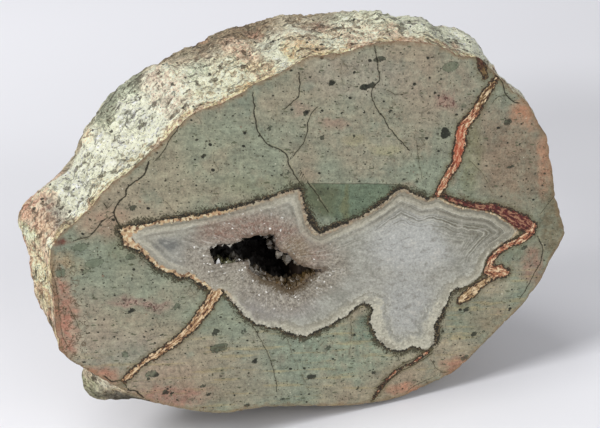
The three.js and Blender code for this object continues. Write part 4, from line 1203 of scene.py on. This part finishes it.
def skin_paint():
    """The rough skin: chalky white and cream with pink, tan, green and brown, and dark grains."""
    paint = Paint("rough_skin")
    x, y, z = paint.x, paint.y, paint.z
    behind = y - FACE
    cloud = paint.noise(12, 4, 0.6)
    other = paint.noise(8, 4, 0.6, paint.vector("ADD", paint.at, (31.0, 7.0, 12.0)))
    ragged = paint.noise(2.6, 6, 0.7)
    grit = paint.noise(0.9, 4, 0.7)
    colour = paint.mix(tint(210, 203, 180), tint(182, 166, 140), paint.step(cloud, 0.42, 0.58))
    colour = paint.mix(colour, tint(182, 150, 128), paint.step(other, 0.52, 0.64) * 0.7)
    colour = paint.mix(colour, tint(156, 162, 138), paint.step(other, 0.45, 0.34) * 0.7)
    # greyer and darker towards the back and below, partly the skin's own colour and partly painted shade where the skin
    # turns away from the light
    darker_back = paint.step(behind + (cloud - 0.5) * 30, 12, 28)
    bark = paint.mix(tint(146, 130, 104), tint(100, 90, 70), paint.step(ragged, 0.42, 0.6))
    # the back in large stains, paler and green in places and rusty in others
    wide = paint.noise(24, 4, 0.6, paint.vector("ADD", paint.at, (5.0, 60.0, 9.0)))
    far_back = paint.step(behind, 24, 33)
    bark = paint.mix(bark, tint(158, 158, 134), paint.step(wide + (ragged - 0.5) * 0.4, 0.52, 0.6) * far_back * 0.75)
    bark = paint.mix(bark, tint(138, 100, 76), paint.step(wide + (other - 0.5) * 0.3, 0.46, 0.4) * far_back * 0.7)
    colour = paint.mix(colour, bark, darker_back * 0.85)
    # earth colours below, partly painted shade low down
    low = paint.step(z + (ragged - 0.5) * 12, 27, 13)
    earth = paint.mix(tint(130, 120, 94), tint(100, 87, 64), paint.step(other, 0.42, 0.58))
    colour = paint.mix(colour, earth, low * 0.9)
    left = paint.step(x + (ragged - 0.5) * 8, -53, -59)
    ruddy = paint.mix(tint(160, 112, 88), tint(186, 160, 124), paint.step(other, 0.44, 0.58))
    colour = paint.mix(colour, ruddy, left * 0.9)
    # flakes that run round the nodule
    turn = paint.node("ShaderNodeMath", {"operation": "ARCTAN2"}, {0: x - AXIS[0], 1: z - AXIS[1]})
    spoke = paint.vector("SUBTRACT", paint.vector("MULTIPLY", paint.at, (1, 0, 1)), (AXIS[0], 0, AXIS[1]))
    level = paint.node("ShaderNodeVectorMath", {"operation": "LENGTH"}, {0: spoke}, 1)
    round_it = paint.node("ShaderNodeCombineXYZ", None, {0: turn * 55 * 0.36, 1: behind, 2: level})
    swirl = paint.vector("SCALE", paint.swirl(3, 4), scale=2.0)
    flakes = paint.noise(1.6, 6, 0.74, paint.vector("ADD", round_it, swirl))
    warped = paint.shift(3.5, 2.2)
    mottled = 0.4 + paint.step(flakes + (grit - 0.5) * 0.6, 0.42, 0.53) * 0.55
    for px, depth, pz, size, colours in SKIN_PATCHES:
        off = paint.vector("SUBTRACT", warped, (px, FACE + depth, pz))
        off = paint.vector("MULTIPLY", off, (0.8 / size, 0.4 / size, 0.8 / size))
        away = paint.node("ShaderNodeVectorMath", {"operation": "LENGTH"}, {0: off}, 1)
        colour = paint.mix(colour, tint(*colours), paint.step(away, 1.6, 0.6) * mottled)
    # a rusty seam along the cut
    seam = paint.step(behind + (ragged - 0.5) * 12 + (flakes - 0.5) * 8, 2.9, 0.3)
    rusty = paint.mix(tint(132, 84, 52), tint(180, 162, 116), paint.step(grit + (other - 0.5) * 1.2, 0.42, 0.54))
    colour = paint.mix(colour, rusty, seam * (1 - low * 0.85) * 0.75)
    # painted highlights on the raised crests, small facets and grains; painted shade in the creases and pits; dark
    # facets, nicks, rents and grains
    round_about = paint.vector("ADD", round_it, swirl)
    facet, facet_two = paint.random(0.8, round_about)
    crisp = paint.noise(0.6, 2, 0.65)
    lightness = paint.node("ShaderNodeSeparateColor", None, {0: colour}, out=1)
    chalky = 0.32 + paint.step(lightness, 0.4, 0.68) * 0.68
    tone = 1.66 + (flakes - 0.5) * 2.5 + (ragged - 0.5) * 0.7 + (grit - 0.5) * 2.6 + (crisp - 0.5) * 3.6
    colour = paint.shaded(colour, tone + (facet - 0.5) * 0.5)
    # how strong the painted highlights are: weaker towards the back, below and on darker colour
    highlight_share = (1 - darker_back * 0.7) * (1 - low * 0.9) * chalky
    painted_crest_highlight = paint.step(flakes + chalky * 0.07 + (crisp - 0.5) * 0.9, 0.54, 0.58) * highlight_share
    colour = paint.mix(colour, tint(255, 255, 224), painted_crest_highlight * 0.9)
    # painted highlight on small facets
    colour = paint.mix(colour, tint(252, 252, 222), paint.step(facet_two, 0.76, 0.78) * highlight_share * 0.6)
    colour = paint.mix(colour, tint(70, 60, 42), paint.step(facet_two, 0.09, 0.07) * 0.7)
    rents = paint.net(2.8, 0.14, round_about) * paint.step(cloud + (ragged - 0.5) * 1.2, 0.5, 0.58)
    colour = paint.mix(colour, tint(58, 50, 38), rents * 0.6)
    # painted shade along creases
    crease_shade = paint.step(abs(flakes - 0.43), 0.018, 0.004) * paint.step(cloud + (grit - 0.5), 0.4, 0.55)
    nick = paint.step(paint.noise(1.5, 5, 0.75, paint.shift(3, 0.6, 19)), 0.59, 0.66)
    pits = paint.noise(0.55, 3, 0.7, paint.vector("ADD", paint.at, (4.0, 1.0, 9.0)))
    colour = paint.mix(colour, tint(96, 78, 56), nick * 0.5)
    colour = paint.mix(colour, tint(62, 50, 36), crease_shade * 0.6)
    # painted shade in the pits and painted highlight on the raised grains between them
    colour = paint.mix(colour, tint(86, 74, 56), paint.step(pits, 0.4, 0.35) * 0.7)
    colour = paint.mix(colour, tint(255, 255, 226), paint.step(pits, 0.58, 0.64) * highlight_share * 0.8)
    colour = specks(paint, colour, SKIN_SPECKS, 0.5, False)
    height = flakes * 2.0 + ragged * 0.6 + grit * 0.6 + pits * 0.4 - crease_shade * 0.3 - nick * 0.3 - rents * 0.25
    return paint.finish(Base_Color=colour, Roughness=0.85, Normal=paint.bump(height, 1.0, 0.9))


def wall_paint():
    paint = Paint("hollow_wall")
    # dark brown: painted shade on the hollow's wall
    colour = paint.mix(tint(44, 35, 28), tint(70, 56, 44), paint.noise(1.2, 3))
    return paint.finish(Base_Color=colour, Roughness=0.7)


def quartz_paint():
    """The hollow's crystals: clear to milky, tan and brown in places, white with a painted glint on a few, and darkened
    deep inside and on the sleeve as painted shade.
    """
    paint = Paint("quartz_crystals")
    shade = paint.given("shade")
    stain = paint.noise(3, 3, 0.6)
    colour = paint.mix(tint(74, 64, 50), tint(208, 202, 186), paint.step(shade, 0.0, 1.0))
    # painted glint: near white where the shade is above 1
    colour = paint.mix(colour, tint(248, 246, 240), paint.step(shade, 1.0, 1.6))
    # painted shade on the sleeve, whose shade is below 0
    colour = paint.mix(colour, tint(66, 53, 42), paint.step(shade, -0.2, -0.8))
    olive = paint.patch(-20.8, 45.6, 1.9, 1.4, paint.at, 0.3)
    colour = paint.mix(colour, tint(112, 112, 72), olive * paint.step(shade, 1.0, 0.5) * 0.7)
    right = paint.step(paint.x + (stain - 0.5) * 4, -11, -8.5) * paint.step(paint.z, 45, 47)
    colour = paint.mix(colour, tint(106, 85, 74), right * 0.7)
    lower = paint.patch(-5, 38, 9, 4, paint.shift(2, 0.8), 0.4)
    colour = paint.mix(colour, tint(116, 92, 56), lower * 0.7)
    colour = paint.shaded(colour, 1.0 + (paint.noise(0.5, 3, 0.7) - 0.5) * 2.4)
    # painted shade: darker deeper in the hollow, beginning deeper behind its lower edge and at its right
    deep = paint.step(paint.y - FACE - lower * 2.4 - right * 2.5, 1.6, 6)
    colour = paint.mix(colour, tint(30, 25, 21), deep * 0.95)
    rough = 0.14 + paint.noise(0.6, 2) * 0.15 + deep * 0.5
    material = paint.finish(Base_Color=colour, Roughness=rough)
    paint.shader.inputs["Transmission Weight"].default_value = 0.3
    paint.shader.inputs["IOR"].default_value = 1.54
    return material


def backdrop_paint():
    """Pale paper with painted light and shade: painted light far behind, painted shadow to the right and a little to
    the left, and painted light in the stone's own cast shadow to its right.
    """
    paint = Paint("pale_floor")
    # painted light: the paper lighter far behind
    tone = 0.935 + paint.step(paint.y, 120, 260) * 0.11
    # painted shadow behind to the right and to the left, and painted light in the cast shadow to the right
    for x, y, reach, core, much in ((135, 75, 78, 20, -0.2), (82, -2, 52, 15, 0.10), (-42, 95, 70, 20, -0.05)):
        off = paint.vector("MULTIPLY", paint.vector("SUBTRACT", paint.at, (x, y, 0)), (1, 1, 0))
        away = paint.node("ShaderNodeVectorMath", {"operation": "LENGTH"}, {0: off}, 1)
        tone = tone + paint.step(away, reach, core) * much
    return paint.finish(Base_Color=paint.shaded(tint(237, 237, 241), tone), Roughness=0.9)


for material in (face_paint(), skin_paint(), wall_paint()):
    nodule.data.materials.append(material)
crust_piece.data.materials.append(quartz_paint())

for piece, node, slot in ((nodule, "nodule", "nodule_rock"), (crust_piece, "crystal_crust", "quartz_crystals")):
    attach(piece, "root")
    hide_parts(node)


# ---------- floor, light and camera

deselect()
bpy.ops.mesh.primitive_plane_add(size=6)
floor = bpy.context.object
floor.name = "floor"
floor.data.materials.append(backdrop_paint())


def lamp(name, place, aim, size, power, colour=(1, 1, 1)):
    data = bpy.data.lights.new(name, "AREA")
    data.size = size
    data.energy = power
    data.color = colour
    lamp = bpy.data.objects.new(name, data)
    lamp.location = place
    lamp.rotation_euler = (Vector(aim) - Vector(place)).to_track_quat("-Z", "Y").to_euler()
    bpy.context.scene.collection.objects.link(lamp)


lamp("side", (-0.8, -0.12, 0.72), (0, 0, 0.04), 0.4, 8.7)
lamp("top", (-0.31, 0.03, 1.04), (0, 0, 0.04), 0.4, 2.7)
lamp("fill", (0.3, -1.0, 0.6), (0, 0, 0.05), 0.9, 5.2)
world = bpy.data.worlds.new("studio")
world.use_nodes = True
world.node_tree.nodes["Background"].inputs["Color"].default_value = (0.86, 0.87, 0.92, 1)
world.node_tree.nodes["Background"].inputs["Strength"].default_value = 0.3
bpy.context.scene.world = world
bpy.context.scene.view_settings.view_transform = "Standard"

AZIMUTH, ELEVATION = math.radians(-22), math.radians(28)
TARGET = Vector((-4.1, FACE, 54.5)) * MM
DISTANCE = 0.355
back = Vector(
    (math.sin(AZIMUTH) * math.cos(ELEVATION), -math.cos(AZIMUTH) * math.cos(ELEVATION), math.sin(ELEVATION))
)
view = bpy.data.cameras.new("camera")
view.lens = 100
view.sensor_width = 36
view.clip_start = 0.01
camera = bpy.data.objects.new("camera", view)
camera.location = TARGET + back * DISTANCE
camera.rotation_euler = (-back).to_track_quat("-Z", "Y").to_euler()
bpy.context.scene.collection.objects.link(camera)
bpy.context.scene.camera = camera
